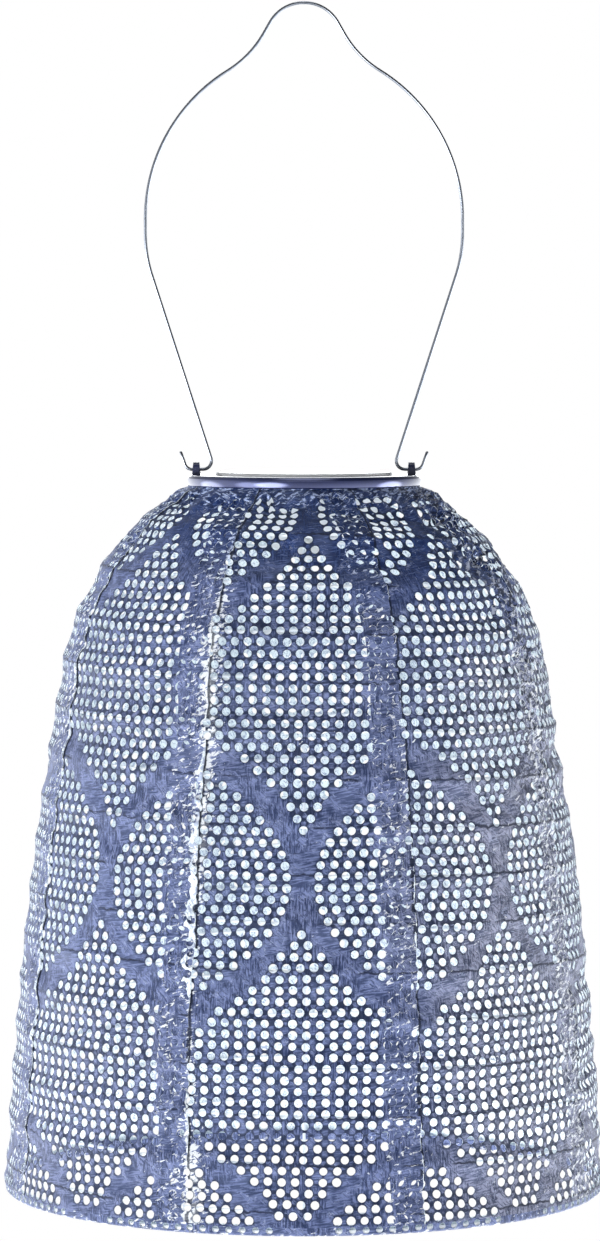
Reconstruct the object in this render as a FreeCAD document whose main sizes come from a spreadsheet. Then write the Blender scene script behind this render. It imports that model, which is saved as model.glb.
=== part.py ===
import FreeCAD, Part
import math
import os
import Sketcher

# An accordion lantern that hangs from its wire handle: a bell-shaped shade of eight fabric gores
# over one spiral wire, a top ring with a solar light unit seated in it, and an open hem.
# Millimetres. The origin is the underside of the handle's apex, where the lantern hangs.
# +Z is up, +X runs through the ears, and the front is towards -Y.

Vector = FreeCAD.Vector

SIZES = {
    # Handle: one bent wire, given by the corners of its right half, counted from the ear holes.
    "pivot_drop": 200.0,
    "wire_radius": 0.7,
    "bearing_clearance": 0.05,
    "tip_out": 53.4,
    "tip_up": 7.8,
    "elbow_out": 50.7,
    "heel_out": 38.6,
    "hip_out": 68.4,
    "hip_up": 92.2,
    "shoulder_out": 68.4,
    "shoulder_up": 149.0,
    "neck_out": 22.8,
    "neck_up": 177.9,
    "crown_out": 9.8,
    "hook_bend": 3.0,
    "heel_bend": 3.6,
    "hip_bend": 60.0,
    "shoulder_bend": 75.0,
    "neck_bend": 45.0,
    "crown_bend": 16.6,
    # Top ring: a pressed channel with a shelf that the light unit stands on.
    "ring_gap": 2.2,
    "ring_height": 4.8,
    "ring_radius": 51.0,
    "ring_wall": 0.9,
    "ring_round": 2.0,
    "ring_bore": 39.3,
    "shelf_bore": 36.6,
    "shelf_drop": 6.4,
    "clamp_radius": 49.3,
    "clamp_bore": 46.5,
    "clamp_top_drop": 2.1,
    "clamp_gap": 0.2,
    # Ears: tapered lugs with a hole along X, each riveted through the ring.
    "ear_middle": 46.5,
    "ear_foot_width": 3.6,
    "ear_top_width": 2.6,
    "ear_height": 5.2,
    "ear_depth": 8.0,
    "ear_round": 2.2,
    "rivet_radius": 0.95,
    "rivet_head_radius": 1.8,
    "rivet_head_height": 0.8,
    "rivet_reach": 0.9,
    "rivet_hole": 1.0,
    # Shade: a collar in the ring, a round shoulder and a long side with a slight bow.
    "fabric": 0.5,
    "gore_count": 8,
    "seam_gap": 0.2,
    "collar_radius": 49.9,
    "collar_top_drop": 2.0,
    "collar_foot_drop": 5.3,
    "shoulder_start": 52.0,
    "shoulder_start_drop": 6.3,
    "shoulder_end": 105.0,
    "shoulder_end_drop": 85.8,
    "shoulder_arc": 106.0,
    "side_arc": 1735.0,
    "shade_foot": 129.4,
    "shade_foot_drop": 305.1,
    # Spiral wire inside the fabric.
    "spiral_radius": 0.6,
    "spiral_gap": 0.15,
    "spiral_pitch": 19.75,
    "spiral_start_drop": 11.4,
    "spiral_end_drop": 302.0,
    "spiral_side_drop": 28.8,
    # Hem: the fabric folded round a hoop.
    "hoop_radius": 128.2,
    "hoop_wire": 0.95,
    "hem_inside": 1.0,
    "hem_outside": 1.5,
    "hem_top_drop": 305.4,
    "hem_bend_drop": 308.3,
    # Expander legs, from the clamp ring down to the hem.
    "leg_wire": 0.6,
    "leg_peg": 46.2,
    "leg_peg_drop": 3.4,
    "leg_top": 43.0,
    "leg_foot": 124.4,
    "leg_toe": 128.0,
    "leg_foot_drop": 304.5,
    "leg_bend": 2.0,
    # Light unit: an upper shell on the ring's shelf and a cup below it.
    "cap_radius": 38.5,
    "cap_proud": 1.2,
    "cap_round": 0.4,
    "cap_lift_gap": 0.05,
    "cap_deck": 2.0,
    "cap_skirt_inside": 36.9,
    "window_radius": 31.0,
    "window_play": 0.1,
    "window_height": 1.8,
    "cell_hole": 28.5,
    "cell_width": 39.0,
    "cell_height": 1.2,
    "boss_circle": 30.5,
    "boss_radius": 3.0,
    "boss_hole": 1.25,
    "boss_length": 19.0,
    "seal_circle": 35.4,
    "seal_radius": 0.38,
    "seal_play": 0.1,
    "cup_flange": 36.7,
    "cup_flange_height": 1.6,
    "cup_radius": 35.8,
    "cup_wall": 1.6,
    "cup_ledge": 3.4,
    "cup_depth": 21.8,
    "ledge_drop": 4.4,
    "screw_radius": 1.2,
    "screw_head_radius": 2.6,
    "screw_head_height": 1.3,
    "screw_hole": 1.6,
    "screw_length": 12.0,
    "board_radius": 33.9,
    "board_height": 1.6,
    "board_hole": 3.2,
    "battery_radius": 5.25,
    "battery_length": 44.5,
    "battery_side": 13.0,
    "contact_width": 8.0,
    "contact_height": 0.4,
    "door_length": 47.0,
    "door_width": 13.0,
    "door_play": 0.25,
    "led_radius": 2.5,
    "led_height": 5.2,
    "led_hole": 2.7,
    "led_lead": 0.25,
    "led_lead_side": 1.27,
    "lens_radius": 14.0,
    "lens_wall": 1.4,
    "lens_height": 12.0,
    "switch_side": -20.0,
    "switch_length": 12.0,
    "switch_width": 5.0,
    "switch_height": 4.0,
    "switch_travel": 3.0,
    "stem_length": 3.0,
    "stem_width": 2.0,
    "knob_length": 5.0,
    "knob_width": 4.0,
    "knob_height": 1.6,
    "slider_play": 0.3,
}

# Levels and other formulas in terms of the sheet.
PIVOT = "-size.pivot_drop"
RING_TOP = f"{PIVOT} - size.ring_gap"
RING_FOOT = f"{RING_TOP} - size.ring_height"
SHELF_TOP = f"{RING_TOP} - size.shelf_drop"
CHANNEL_ROOF = f"{RING_TOP} - size.ring_wall"
CAP_TOP = f"{RING_TOP} + size.cap_proud"
CAP_FOOT = f"{SHELF_TOP} + size.cap_lift_gap"
WINDOW_LEDGE = f"{CAP_TOP} - size.cap_deck"
CAP_CEILING = f"{WINDOW_LEDGE} - size.ring_wall * 2"
CUP_TOP = f"{CAP_CEILING} - size.seal_radius * 2 - size.seal_play"
CUP_LEDGE = f"{CUP_TOP} - size.ledge_drop"
CUP_FOOT = f"{CUP_TOP} - size.cup_depth"
CUP_FLOOR = f"{CUP_FOOT} + size.cup_wall"
BATTERY_LEVEL = f"{CUP_FLOOR} + size.battery_radius + size.contact_height"
SLOT_LENGTH = "size.stem_length + size.switch_travel + size.slider_play * 2"
SLOT_WIDTH = "size.stem_width + size.slider_play * 2"


def below_ring(name):
    """The level that lies the named drop below the top ring's top face."""
    return f"{RING_TOP} - size.{name}"


def make_sheet():
    sheet = doc.addObject("Spreadsheet::Sheet", "size")
    for row, (name, amount) in enumerate(SIZES.items(), start=1):
        sheet.set(f"A{row}", name)
        sheet.set(f"B{row}", str(amount))
        sheet.setAlias(f"B{row}", name)
    doc.recompute()
    return sheet


def value(formula):
    return float(sheet.evalExpression(formula))


def size(name):
    return value(f"size.{name}")


# ---- sketches and bodies -------------------------------------------------------------------


def new_body(label):
    body = doc.addObject("PartDesign::Body", label)
    body.Label = label
    return body


def new_sketch(body, plane, level=None):
    """A sketch on one of the body's own origin planes, raised to a level if one is given."""
    sketch = body.newObject("Sketcher::SketchObject", "Outline")
    sketch.AttachmentSupport = [(next(f for f in body.Origin.OriginFeatures if f.Role == plane), "")]
    sketch.MapMode = "FlatFace"
    if level is not None:
        sketch.setExpression("AttachmentOffset.Base.z", level)
    return sketch


def tie(sketch, kind, edge, point, formula):
    """Hold one coordinate of an edge's end to a formula."""
    number = sketch.addConstraint(Sketcher.Constraint(kind, edge, point, value(formula)))
    sketch.setExpression(f"Constraints[{number}]", formula)


def arc_between(start, end, radius, centre_side):
    """An arc from start to end with its centre on the left (+1) or the right (-1) of the way."""
    half = (end - start) * 0.5
    left = Vector(-half.y, half.x, 0).normalize()
    centre = start + half + left * (centre_side * math.sqrt(radius**2 - half.Length**2))
    first, last = (start, end) if centre_side > 0 else (end, start)
    angles = [math.atan2(p.y - centre.y, p.x - centre.x) for p in (first, last)]
    return Part.ArcOfCircle(Part.Circle(centre, Vector(0, 0, 1), radius), *angles)


def draw_outline(sketch, corners, arcs=None):
    """A closed outline. corners are (x, y) formulas; arcs gives an edge its radius and side."""
    arcs = arcs or {}
    count = len(corners)
    places = [Vector(value(x), value(y), 0) for x, y in corners]
    heads = []
    for edge in range(count):
        start, end = places[edge], places[(edge + 1) % count]
        if edge in arcs:
            radius, side = arcs[edge]
            sketch.addGeometry(arc_between(start, end, value(radius), side), False)
            heads.append(1 if side > 0 else 2)
        else:
            sketch.addGeometry(Part.LineSegment(start, end), False)
            heads.append(1)
    for edge in range(count):
        following = (edge + 1) % count
        tail = 3 - heads[edge]
        sketch.addConstraint(Sketcher.Constraint("Coincident", edge, tail, following, heads[following]))
        tie(sketch, "DistanceX", edge, heads[edge], corners[edge][0])
        tie(sketch, "DistanceY", edge, heads[edge], corners[edge][1])
        if edge in arcs:
            number = sketch.addConstraint(Sketcher.Constraint("Radius", edge, value(arcs[edge][0])))
            sketch.setExpression(f"Constraints[{number}]", arcs[edge][0])


def draw_circles(sketch, radius, centres):
    """Circles of one radius about centres given as (x, y) formulas."""
    for x, y in centres:
        circle = Part.Circle(Vector(value(x), value(y), 0), Vector(0, 0, 1), value(radius))
        edge = sketch.addGeometry(circle, False)
        number = sketch.addConstraint(Sketcher.Constraint("Radius", edge, value(radius)))
        sketch.setExpression(f"Constraints[{number}]", radius)
        tie(sketch, "DistanceX", edge, 3, x)
        tie(sketch, "DistanceY", edge, 3, y)


def draw_box(sketch, x, y, length, width):
    """A rectangle about the point (x, y)."""
    left, right = f"{x} - ({length}) / 2", f"{x} + ({length}) / 2"
    near, far = f"{y} - ({width}) / 2", f"{y} + ({width}) / 2"
    draw_outline(sketch, [(left, near), (right, near), (right, far), (left, far)])


def turn_outline(body, corners, arcs=None, angle="360"):
    """Turn an outline of radius and height about Z, half the angle to each side of +X."""
    sketch = new_sketch(body, "XZ_Plane")
    draw_outline(sketch, corners, arcs)
    feature = body.newObject("PartDesign::Revolution", "Turned")
    feature.Profile = sketch
    feature.ReferenceAxis = (sketch, ["V_Axis"])
    feature.Midplane = True
    feature.setExpression("Angle", angle)
    return feature


def pad(body, sketch, length, upwards=True):
    feature = body.newObject("PartDesign::Pad", "Raised")
    feature.Profile = sketch
    feature.setExpression("Length", length)
    feature.Reversed = not upwards
    return feature


def pocket_down(body, sketch, depth):
    """Cut from the sketch towards -Z."""
    feature = body.newObject("PartDesign::Pocket", "Cut")
    feature.Profile = sketch
    feature.setExpression("Length", depth)
    return feature


def four_around(circle):
    """Four places on a circle, on the X and Y axes."""
    return [(circle, "0"), ("0", circle), (f"-{circle}", "0"), ("0", f"-{circle}")]


def cylinder(label, radius, height, foot, x="0", y="0"):
    piece = doc.addObject("Part::Cylinder", label)
    piece.setExpression("Radius", radius)
    piece.setExpression("Height", height)
    set_place(piece, x, y, foot)
    return piece


def box(label, length, width, height, x, y, foot):
    """A box centred on (x, y) that stands on the level foot."""
    piece = doc.addObject("Part::Box", label)
    piece.setExpression("Length", length)
    piece.setExpression("Width", width)
    piece.setExpression("Height", height)
    set_place(piece, f"{x} - ({length}) / 2", f"{y} - ({width}) / 2", foot)
    return piece


def set_place(piece, x, y, z):
    for axis, formula in (("x", x), ("y", y), ("z", z)):
        piece.setExpression(f"Placement.Base.{axis}", formula)


def join(label, *pieces):
    fused = doc.addObject("Part::MultiFuse", label)
    fused.Shapes = list(pieces)
    return fused


def cut(label, base, tool):
    result = doc.addObject("Part::Cut", label)
    result.Base = base
    result.Tool = tool
    return result


def torus(label, circle, radius, level):
    piece = doc.addObject("Part::Torus", label)
    piece.setExpression("Radius1", circle)
    piece.setExpression("Radius2", radius)
    piece.setExpression("Placement.Base.z", level)
    return piece


# ---- bent wires ----------------------------------------------------------------------------


def rounded_route(corners, bends):
    """Straight runs through the corners, joined by tangent arcs of the given bend radii."""
    edges = []
    start = corners[0]
    for before, corner, after, radius in zip(corners, corners[1:], corners[2:], bends):
        back = (before - corner).normalize()
        ahead = (after - corner).normalize()
        turn = math.pi - back.getAngle(ahead)
        reach = radius * math.tan(turn / 2)
        middle = (back + ahead).normalize()
        on_arc = corner + middle * (radius / math.cos(turn / 2) - radius)
        arc_start, arc_end = corner + back * reach, corner + ahead * reach
        edges.append(Part.LineSegment(start, arc_start).toShape())
        edges.append(Part.Arc(arc_start, on_arc, arc_end).toShape())
        start = arc_end
    edges.append(Part.LineSegment(start, corners[-1]).toShape())
    return Part.Wire(edges)


def wire_solid(route, radius, start, direction):
    """A round wire along a route of tangent runs and arcs."""
    section = Part.Wire([Part.makeCircle(radius, start, direction)])
    solid = route.makePipeShell([section], True, False)
    expected = math.pi * radius**2 * route.Length
    if abs(solid.Volume - expected) > 0.01 * expected:
        raise ValueError("a bent wire's volume is not its section times its length")
    return solid


def shaped(label, shape):
    piece = doc.addObject("Part::Feature", label)
    piece.Shape = shape
    return piece


def make_handle_wire():
    """J-shaped ends through the ears, legs that lean out, round shoulders and an ogee crown."""
    pivot = value(PIVOT)
    right = [
        (size("tip_out"), size("tip_up")),
        (size("elbow_out"), 0),
        (size("heel_out"), 0),
        (size("hip_out"), size("hip_up")),
        (size("shoulder_out"), size("shoulder_up")),
        (size("neck_out"), size("neck_up")),
        (size("crown_out"), size("pivot_drop") + size("wire_radius")),
    ]
    bend_names = ["hook_bend", "heel_bend", "hip_bend", "shoulder_bend", "neck_bend", "crown_bend"]
    bends = [size(name) for name in bend_names]
    corners = [Vector(x, 0, pivot + z) for x, z in right]
    corners += [Vector(-x, 0, pivot + z) for x, z in reversed(right)]
    route = rounded_route(corners, bends + bends[::-1])
    solid = wire_solid(route, size("wire_radius"), corners[0], corners[1] - corners[0])
    return shaped("handle_wire", solid)


def make_expander_leg(label, side):
    """A wire leg with a peg end at the clamp ring and a toe resting on the hem. side is -1 or +1."""
    peg_level = value(below_ring("leg_peg_drop"))
    toe_level = value(below_ring("leg_foot_drop"))
    corners = [
        Vector(0, side * size("leg_peg"), peg_level),
        Vector(0, side * size("leg_top"), peg_level),
        Vector(0, side * size("leg_foot"), toe_level),
        Vector(0, side * size("leg_toe"), toe_level),
    ]
    bend = size("leg_bend")
    route = rounded_route(corners, [bend / 2, bend])
    solid = wire_solid(route, size("leg_wire"), corners[0], corners[1] - corners[0])
    return shaped(label, solid)


# ---- the shade's profile and the spiral that follows it ------------------------------------


def profile_arcs():
    """The two arcs of the shade's outer profile, as (circle centre, radius, lowest level)."""
    start = Vector(size("shoulder_start"), value(below_ring("shoulder_start_drop")), 0)
    bend = Vector(size("shoulder_end"), value(below_ring("shoulder_end_drop")), 0)
    foot = Vector(size("shade_foot"), value(below_ring("shade_foot_drop")), 0)
    arcs = []
    for upper, lower, radius in ((start, bend, size("shoulder_arc")), (bend, foot, size("side_arc"))):
        curve = arc_between(upper, lower, radius, -1)
        arcs.append((curve.Center, radius, lower.y))
    return arcs


def spiral_point(angle, arcs):
    """The spiral's centre line: it drops one pitch a turn and stays just inside the fabric."""
    side_level = value(below_ring("spiral_side_drop"))
    level = side_level - size("spiral_pitch") * angle / (2 * math.pi)
    centre, radius, _ = next((arc for arc in arcs if level >= arc[2]), arcs[-1])
    out = Vector(math.sqrt(radius**2 - (level - centre.y) ** 2), level - centre.y, 0) * (1 / radius)
    inset = size("fabric") + size("spiral_gap") + size("spiral_radius")
    place = centre + out * (radius - inset)
    return Vector(place.x * math.cos(angle), place.x * math.sin(angle), place.y)


def tangent_pair(start, start_way, end, end_way):
    """Two arcs, tangent to each other, that leave start and reach end in the given directions."""
    chord = end - start
    ways = start_way + end_way
    spread = 2 * (1 - start_way.dot(end_way))
    reach = (math.sqrt(chord.dot(ways) ** 2 + spread * chord.dot(chord)) - chord.dot(ways)) / spread
    corners = (start + start_way * reach, end - end_way * reach)
    middle = (corners[0] + corners[1]) * 0.5
    edges = []
    for first, corner, last in ((start, corners[0], middle), (middle, corners[1], end)):
        centre = (first + last) * 0.5
        half = (last - first).Length / 2
        depth = (corner - centre).Length
        radius = half * reach / depth
        rise = radius - math.sqrt(radius**2 - half**2)
        edges.append(Part.Arc(first, centre + (corner - centre) * (rise / depth), last).toShape())
    return edges


def make_spiral_wire():
    """One wire of about fifteen turns, as tangent arcs, six pairs to a turn."""
    arcs = profile_arcs()
    per_turn = 2 * math.pi / size("spiral_pitch")
    first = (size("spiral_start_drop") - size("spiral_side_drop")) * per_turn
    last = (size("spiral_end_drop") - size("spiral_side_drop")) * per_turn
    spans = round((last - first) / math.radians(60))
    angles = [first + (last - first) * i / spans for i in range(spans + 1)]
    points = [spiral_point(angle, arcs) for angle in angles]
    nudge = 1e-4
    ways = [spiral_point(a + nudge, arcs) - spiral_point(a - nudge, arcs) for a in angles]
    ways = [way.normalize() for way in ways]
    edges = []
    for i in range(spans):
        edges += tangent_pair(points[i], ways[i], points[i + 1], ways[i + 1])
    return shaped("spiral_wire", wire_solid(Part.Wire(edges), size("spiral_radius"), points[0], ways[0]))


# ---- ring, ears and shade ------------------------------------------------------------------


def make_top_ring():
    """A pressed channel, open below, with a rounded rim and an inner lip turned in to a shelf."""
    body = new_body("top_ring")
    wall = "size.ring_wall"
    lip = f"size.ring_bore + {wall}"
    rim = "size.ring_radius - size.ring_round"
    corners = [
        ("size.ring_radius", RING_FOOT),
        ("size.ring_radius", f"{RING_TOP} - size.ring_round"),
        (rim, RING_TOP),
        (lip, RING_TOP),
        ("size.ring_bore", CHANNEL_ROOF),
        ("size.ring_bore", SHELF_TOP),
        ("size.shelf_bore", SHELF_TOP),
        ("size.shelf_bore", f"{SHELF_TOP} - {wall}"),
        (lip, f"{SHELF_TOP} - {wall}"),
        (lip, CHANNEL_ROOF),
        (rim, CHANNEL_ROOF),
        (f"size.ring_radius - {wall}", f"{RING_TOP} - size.ring_round"),
        (f"size.ring_radius - {wall}", RING_FOOT),
    ]
    arcs = {1: ("size.ring_round", 1), 3: (wall, 1), 10: (f"size.ring_round - {wall}", -1)}
    turn_outline(body, corners, arcs)
    holes = new_sketch(body, "XY_Plane", f"{RING_TOP} + size.ring_wall")
    draw_circles(holes, "size.rivet_hole", [("size.ear_middle", "0"), ("-size.ear_middle", "0")])
    pocket_down(body, holes, "size.ring_wall * 3")
    return body


def make_clamp_ring():
    """A flat band inside the channel that holds the gathered fabric against the outer wall."""
    body = new_body("clamp_ring")
    top = below_ring("clamp_top_drop")
    foot = f"{RING_FOOT} + size.clamp_gap"
    corners = [
        ("size.clamp_bore", foot),
        ("size.clamp_radius", foot),
        ("size.clamp_radius", top),
        ("size.clamp_bore", top),
    ]
    turn_outline(body, corners)
    return body


def make_ear(label, side):
    """A lug that tapers upwards, with a hole along X for the handle. side is '-' or ''."""
    body = new_body(label)
    middle = f"{side}size.ear_middle"
    foot_half, top_half = "size.ear_foot_width / 2", "size.ear_top_width / 2"
    top = f"{RING_TOP} + size.ear_height"
    profile = new_sketch(body, "XZ_Plane")
    corners = [
        (f"{middle} - {foot_half}", RING_TOP),
        (f"{middle} + {foot_half}", RING_TOP),
        (f"{middle} + {top_half}", top),
        (f"{middle} - {top_half}", top),
    ]
    draw_outline(profile, corners)
    lug = pad(body, profile, "size.ear_depth")
    lug.SideType = "Symmetric"
    doc.recompute()
    ends = [
        f"Edge{i}"
        for i, edge in enumerate(lug.Shape.Edges, start=1)
        if edge.BoundBox.YLength < 1e-6 and abs(edge.CenterOfMass.z - value(top)) < 1e-6
    ]
    rounding = body.newObject("PartDesign::Fillet", "Rounded")
    rounding.Base = (lug, ends)
    rounding.setExpression("Radius", "size.ear_round")
    bore = new_sketch(body, "YZ_Plane")
    draw_circles(bore, "size.wire_radius + size.bearing_clearance", [("0", PIVOT)])
    hole = body.newObject("PartDesign::Pocket", "HandleHole")
    hole.Profile = bore
    hole.SideType = "Symmetric"
    hole.setExpression("Length", "size.ring_radius * 4")
    blind = new_sketch(body, "XY_Plane", f"{RING_TOP} + size.rivet_reach + size.bearing_clearance")
    draw_circles(blind, "size.rivet_hole", [(middle, "0")])
    pocket_down(body, blind, "size.rivet_reach * 2")
    return body


def make_ear_rivets():
    pieces = []
    head_foot = f"{CHANNEL_ROOF} - size.rivet_head_height"
    length = f"size.rivet_reach + size.ring_wall + size.rivet_head_height"
    for side in ("", "-"):
        middle = f"{side}size.ear_middle"
        head = cylinder("rivet_head", "size.rivet_head_radius", "size.rivet_head_height", head_foot, middle)
        shank = cylinder("rivet_shank", "size.rivet_radius", length, head_foot, middle)
        pieces.append(join("rivet", head, shank))
    return group("ear_rivets", pieces)


def group(label, pieces):
    compound = doc.addObject("Part::Compound", label)
    compound.Links = pieces
    return compound


def make_gore(number):
    """One fabric gore: a collar up inside the ring, the round shoulder and the long side."""
    body = new_body(f"gore_{number}")
    skin = "size.fabric"
    shoulder, side = below_ring("shoulder_start_drop"), below_ring("shoulder_end_drop")
    foot = below_ring("shade_foot_drop")
    collar_top, collar_foot = below_ring("collar_top_drop"), below_ring("collar_foot_drop")
    corners = [
        ("size.collar_radius", collar_top),
        ("size.collar_radius", collar_foot),
        ("size.shoulder_start", shoulder),
        ("size.shoulder_end", side),
        ("size.shade_foot", foot),
        (f"size.shade_foot - {skin}", foot),
        (f"size.shoulder_end - {skin}", side),
        (f"size.shoulder_start - {skin} / 2", f"{shoulder} - {skin}"),
        (f"size.collar_radius - {skin}", f"{collar_foot} - {skin}"),
        (f"size.collar_radius - {skin}", collar_top),
    ]
    arcs = {
        2: ("size.shoulder_arc", -1),
        3: ("size.side_arc", -1),
        5: ("size.side_arc", 1),
        6: ("size.shoulder_arc", 1),
    }
    turn_outline(body, corners, arcs, "360 / size.gore_count - size.seam_gap")
    body.Placement.Rotation = FreeCAD.Rotation(Vector(0, 0, 1), -90 + 360 / size("gore_count") * (number - 1))
    return body


def make_hem_binding():
    """Fabric folded up inside round the hoop, creased into three flats where it goes round."""
    body = new_body("hem_binding")
    bend, top = below_ring("hem_bend_drop"), below_ring("hem_top_drop")

    def fold(reach):
        side = f"size.hoop_radius - {reach}"
        far_side = f"size.hoop_radius + {reach}"
        crease = f"{reach} * tan(22.5)"
        return [
            (side, top),
            (side, f"{bend} - {crease}"),
            (f"size.hoop_radius - {crease}", f"{bend} - {reach}"),
            (f"size.hoop_radius + {crease}", f"{bend} - {reach}"),
            (far_side, f"{bend} - {crease}"),
            (far_side, top),
        ]

    turn_outline(body, fold("size.hem_outside") + fold("size.hem_inside")[::-1])
    return body


# ---- the light unit ------------------------------------------------------------------------


def make_cap_housing():
    """The upper shell: a round skirt on the ring's shelf, a window recess and four screw bosses."""
    body = new_body("cap_housing")
    corners = [
        ("size.cap_radius", CAP_FOOT),
        ("size.cap_radius", f"{CAP_TOP} - size.cap_round"),
        ("size.cap_radius - size.cap_round", CAP_TOP),
        ("size.window_radius", CAP_TOP),
        ("size.window_radius", WINDOW_LEDGE),
        ("size.cell_hole", WINDOW_LEDGE),
        ("size.cell_hole", CAP_CEILING),
        ("size.cap_skirt_inside", CAP_CEILING),
        ("size.cap_skirt_inside", CAP_FOOT),
    ]
    turn_outline(body, corners, {1: ("size.cap_round", 1)})
    bosses = new_sketch(body, "XY_Plane", f"{CAP_CEILING} + size.ring_wall / 2")
    draw_circles(bosses, "size.boss_radius", four_around("size.boss_circle"))
    pad(body, bosses, "size.boss_length + size.ring_wall / 2", upwards=False)
    holes = new_sketch(body, "XY_Plane", f"{CAP_CEILING} - size.boss_length + size.screw_length")
    draw_circles(holes, "size.boss_hole", four_around("size.boss_circle"))
    pocket_down(body, holes, "size.boss_length")
    return body


def make_solar_cell():
    """A square cell that hangs just under the window, inside the housing's round hole."""
    body = new_body("solar_cell")
    sketch = new_sketch(body, "XY_Plane", f"{WINDOW_LEDGE} - size.window_play - size.cell_height")
    draw_box(sketch, "0", "0", "size.cell_width", "size.cell_width")
    pad(body, sketch, "size.cell_height")
    return body


def make_base_housing():
    """The cup below: a flange inside the skirt, a ledge for the board and a floor with cut-outs."""
    body = new_body("base_housing")
    inner = "size.cup_radius - size.cup_wall"
    low_inner = "size.cup_radius - size.cup_ledge"
    corners = [
        ("0", CUP_FOOT),
        ("size.cup_radius", CUP_FOOT),
        ("size.cup_radius", f"{CUP_TOP} - size.cup_flange_height"),
        ("size.cup_flange", f"{CUP_TOP} - size.cup_flange_height"),
        ("size.cup_flange", CUP_TOP),
        (inner, CUP_TOP),
        (inner, CUP_LEDGE),
        (low_inner, CUP_LEDGE),
        (low_inner, CUP_FLOOR),
        ("0", CUP_FLOOR),
    ]
    turn_outline(body, corners)
    depth = "size.cup_wall * 2"
    above_floor = f"{CUP_FLOOR} + size.cup_wall / 2"
    screws = new_sketch(body, "XY_Plane", above_floor)
    draw_circles(screws, "size.screw_hole", four_around("size.boss_circle"))
    pocket_down(body, screws, depth)
    led = new_sketch(body, "XY_Plane", above_floor)
    draw_circles(led, "size.led_hole", [("0", "0")])
    pocket_down(body, led, depth)
    door = new_sketch(body, "XY_Plane", above_floor)
    play = "size.door_play * 2"
    draw_box(door, "0", "size.battery_side", f"size.door_length + {play}", f"size.door_width + {play}")
    pocket_down(body, door, depth)
    slot = new_sketch(body, "XY_Plane", above_floor)
    draw_box(slot, "size.switch_travel / 2", "size.switch_side", SLOT_LENGTH, SLOT_WIDTH)
    pocket_down(body, slot, depth)
    clear_bosses = new_sketch(body, "XY_Plane", CUP_TOP)
    draw_circles(clear_bosses, "size.board_hole", four_around("size.boss_circle"))
    pocket_down(body, clear_bosses, "size.cup_depth - size.cup_wall")
    return body


def make_housing_screws():
    pieces = []
    for x, y in four_around("size.boss_circle"):
        head_foot = f"{CUP_FOOT} - size.screw_head_height"
        head = cylinder("screw_head", "size.screw_head_radius", "size.screw_head_height", head_foot, x, y)
        length = "size.screw_length + size.screw_head_height"
        shank = cylinder("screw_shank", "size.screw_radius", length, head_foot, x, y)
        pieces.append(join("screw", head, shank))
    return group("housing_screws", pieces)


def make_circuit_board():
    body = new_body("circuit_board")
    sketch = new_sketch(body, "XY_Plane", CUP_LEDGE)
    draw_circles(sketch, "size.board_radius", [("0", "0")])
    pad(body, sketch, "size.board_height")
    holes = new_sketch(body, "XY_Plane", f"{CUP_LEDGE} + size.board_height")
    draw_circles(holes, "size.board_hole", four_around("size.boss_circle"))
    pocket_down(body, holes, "size.board_height")
    return body


def make_battery():
    """A rechargeable cell on its side above the battery door."""
    end = "-size.battery_length / 2"
    battery = cylinder(
        "battery", "size.battery_radius", "size.battery_length", BATTERY_LEVEL, end, "size.battery_side"
    )
    battery.Placement.Rotation = FreeCAD.Rotation(Vector(0, 1, 0), 90)
    return battery


def make_battery_contacts():
    pieces = []
    reach = "(size.battery_length / 2 + size.contact_height)"
    foot = f"{BATTERY_LEVEL} - size.contact_width / 2"
    width = "size.contact_width"
    for side in ("", "-"):
        place = f"{side}{reach}"
        pieces.append(box("contact", "size.contact_height", width, width, place, "size.battery_side", foot))
    return group("battery_contacts", pieces)


def make_led():
    """A round lamp through the floor, with two leads up to the board."""
    pieces = [cylinder("lamp", "size.led_radius", "size.led_height", f"{CUP_FLOOR} - size.led_height")]
    dome = doc.addObject("Part::Sphere", "lamp_dome")
    dome.setExpression("Radius", "size.led_radius")
    dome.setExpression("Placement.Base.z", f"{CUP_FLOOR} - size.led_height")
    pieces.append(dome)
    lead_length = f"{CUP_LEDGE} - ({CUP_FLOOR}) + size.led_lead"
    for side in ("", "-"):
        place = f"{side}size.led_lead_side"
        pieces.append(cylinder("lead", "size.led_lead", lead_length, f"{CUP_FLOOR} - size.led_lead", place))
    return join("led", *pieces)


def make_light_lens():
    """A frosted dome over the lamp, open at the top where it meets the floor."""
    body = new_body("light_lens")
    top = f"{CUP_FOOT} - size.bearing_clearance"
    inner = "size.lens_radius - size.lens_wall"
    waist = f"{CUP_FOOT} - size.lens_height / 2"
    corners = [
        (inner, top),
        (inner, waist),
        ("0", f"{CUP_FOOT} - size.lens_height + size.lens_wall"),
        ("0", f"{CUP_FOOT} - size.lens_height"),
        ("size.lens_radius", waist),
        ("size.lens_radius", top),
    ]
    turn_outline(body, corners, {1: ("size.lens_radius * 2", -1), 3: ("size.lens_radius * 2", 1)})
    return body


def make_switch_body():
    """A slide switch on the cup's floor, with a slot below for the slider's stem."""
    y = "size.switch_side"
    x = "size.switch_travel / 2"
    foot = f"{CUP_FLOOR} + size.bearing_clearance"
    block = box("switch_block", "size.switch_length", "size.switch_width", "size.switch_height", x, y, foot)
    slot = box("switch_slot", SLOT_LENGTH, SLOT_WIDTH, "size.switch_height / 2", x, y, foot)
    return cut("switch_body", block, slot)


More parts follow.
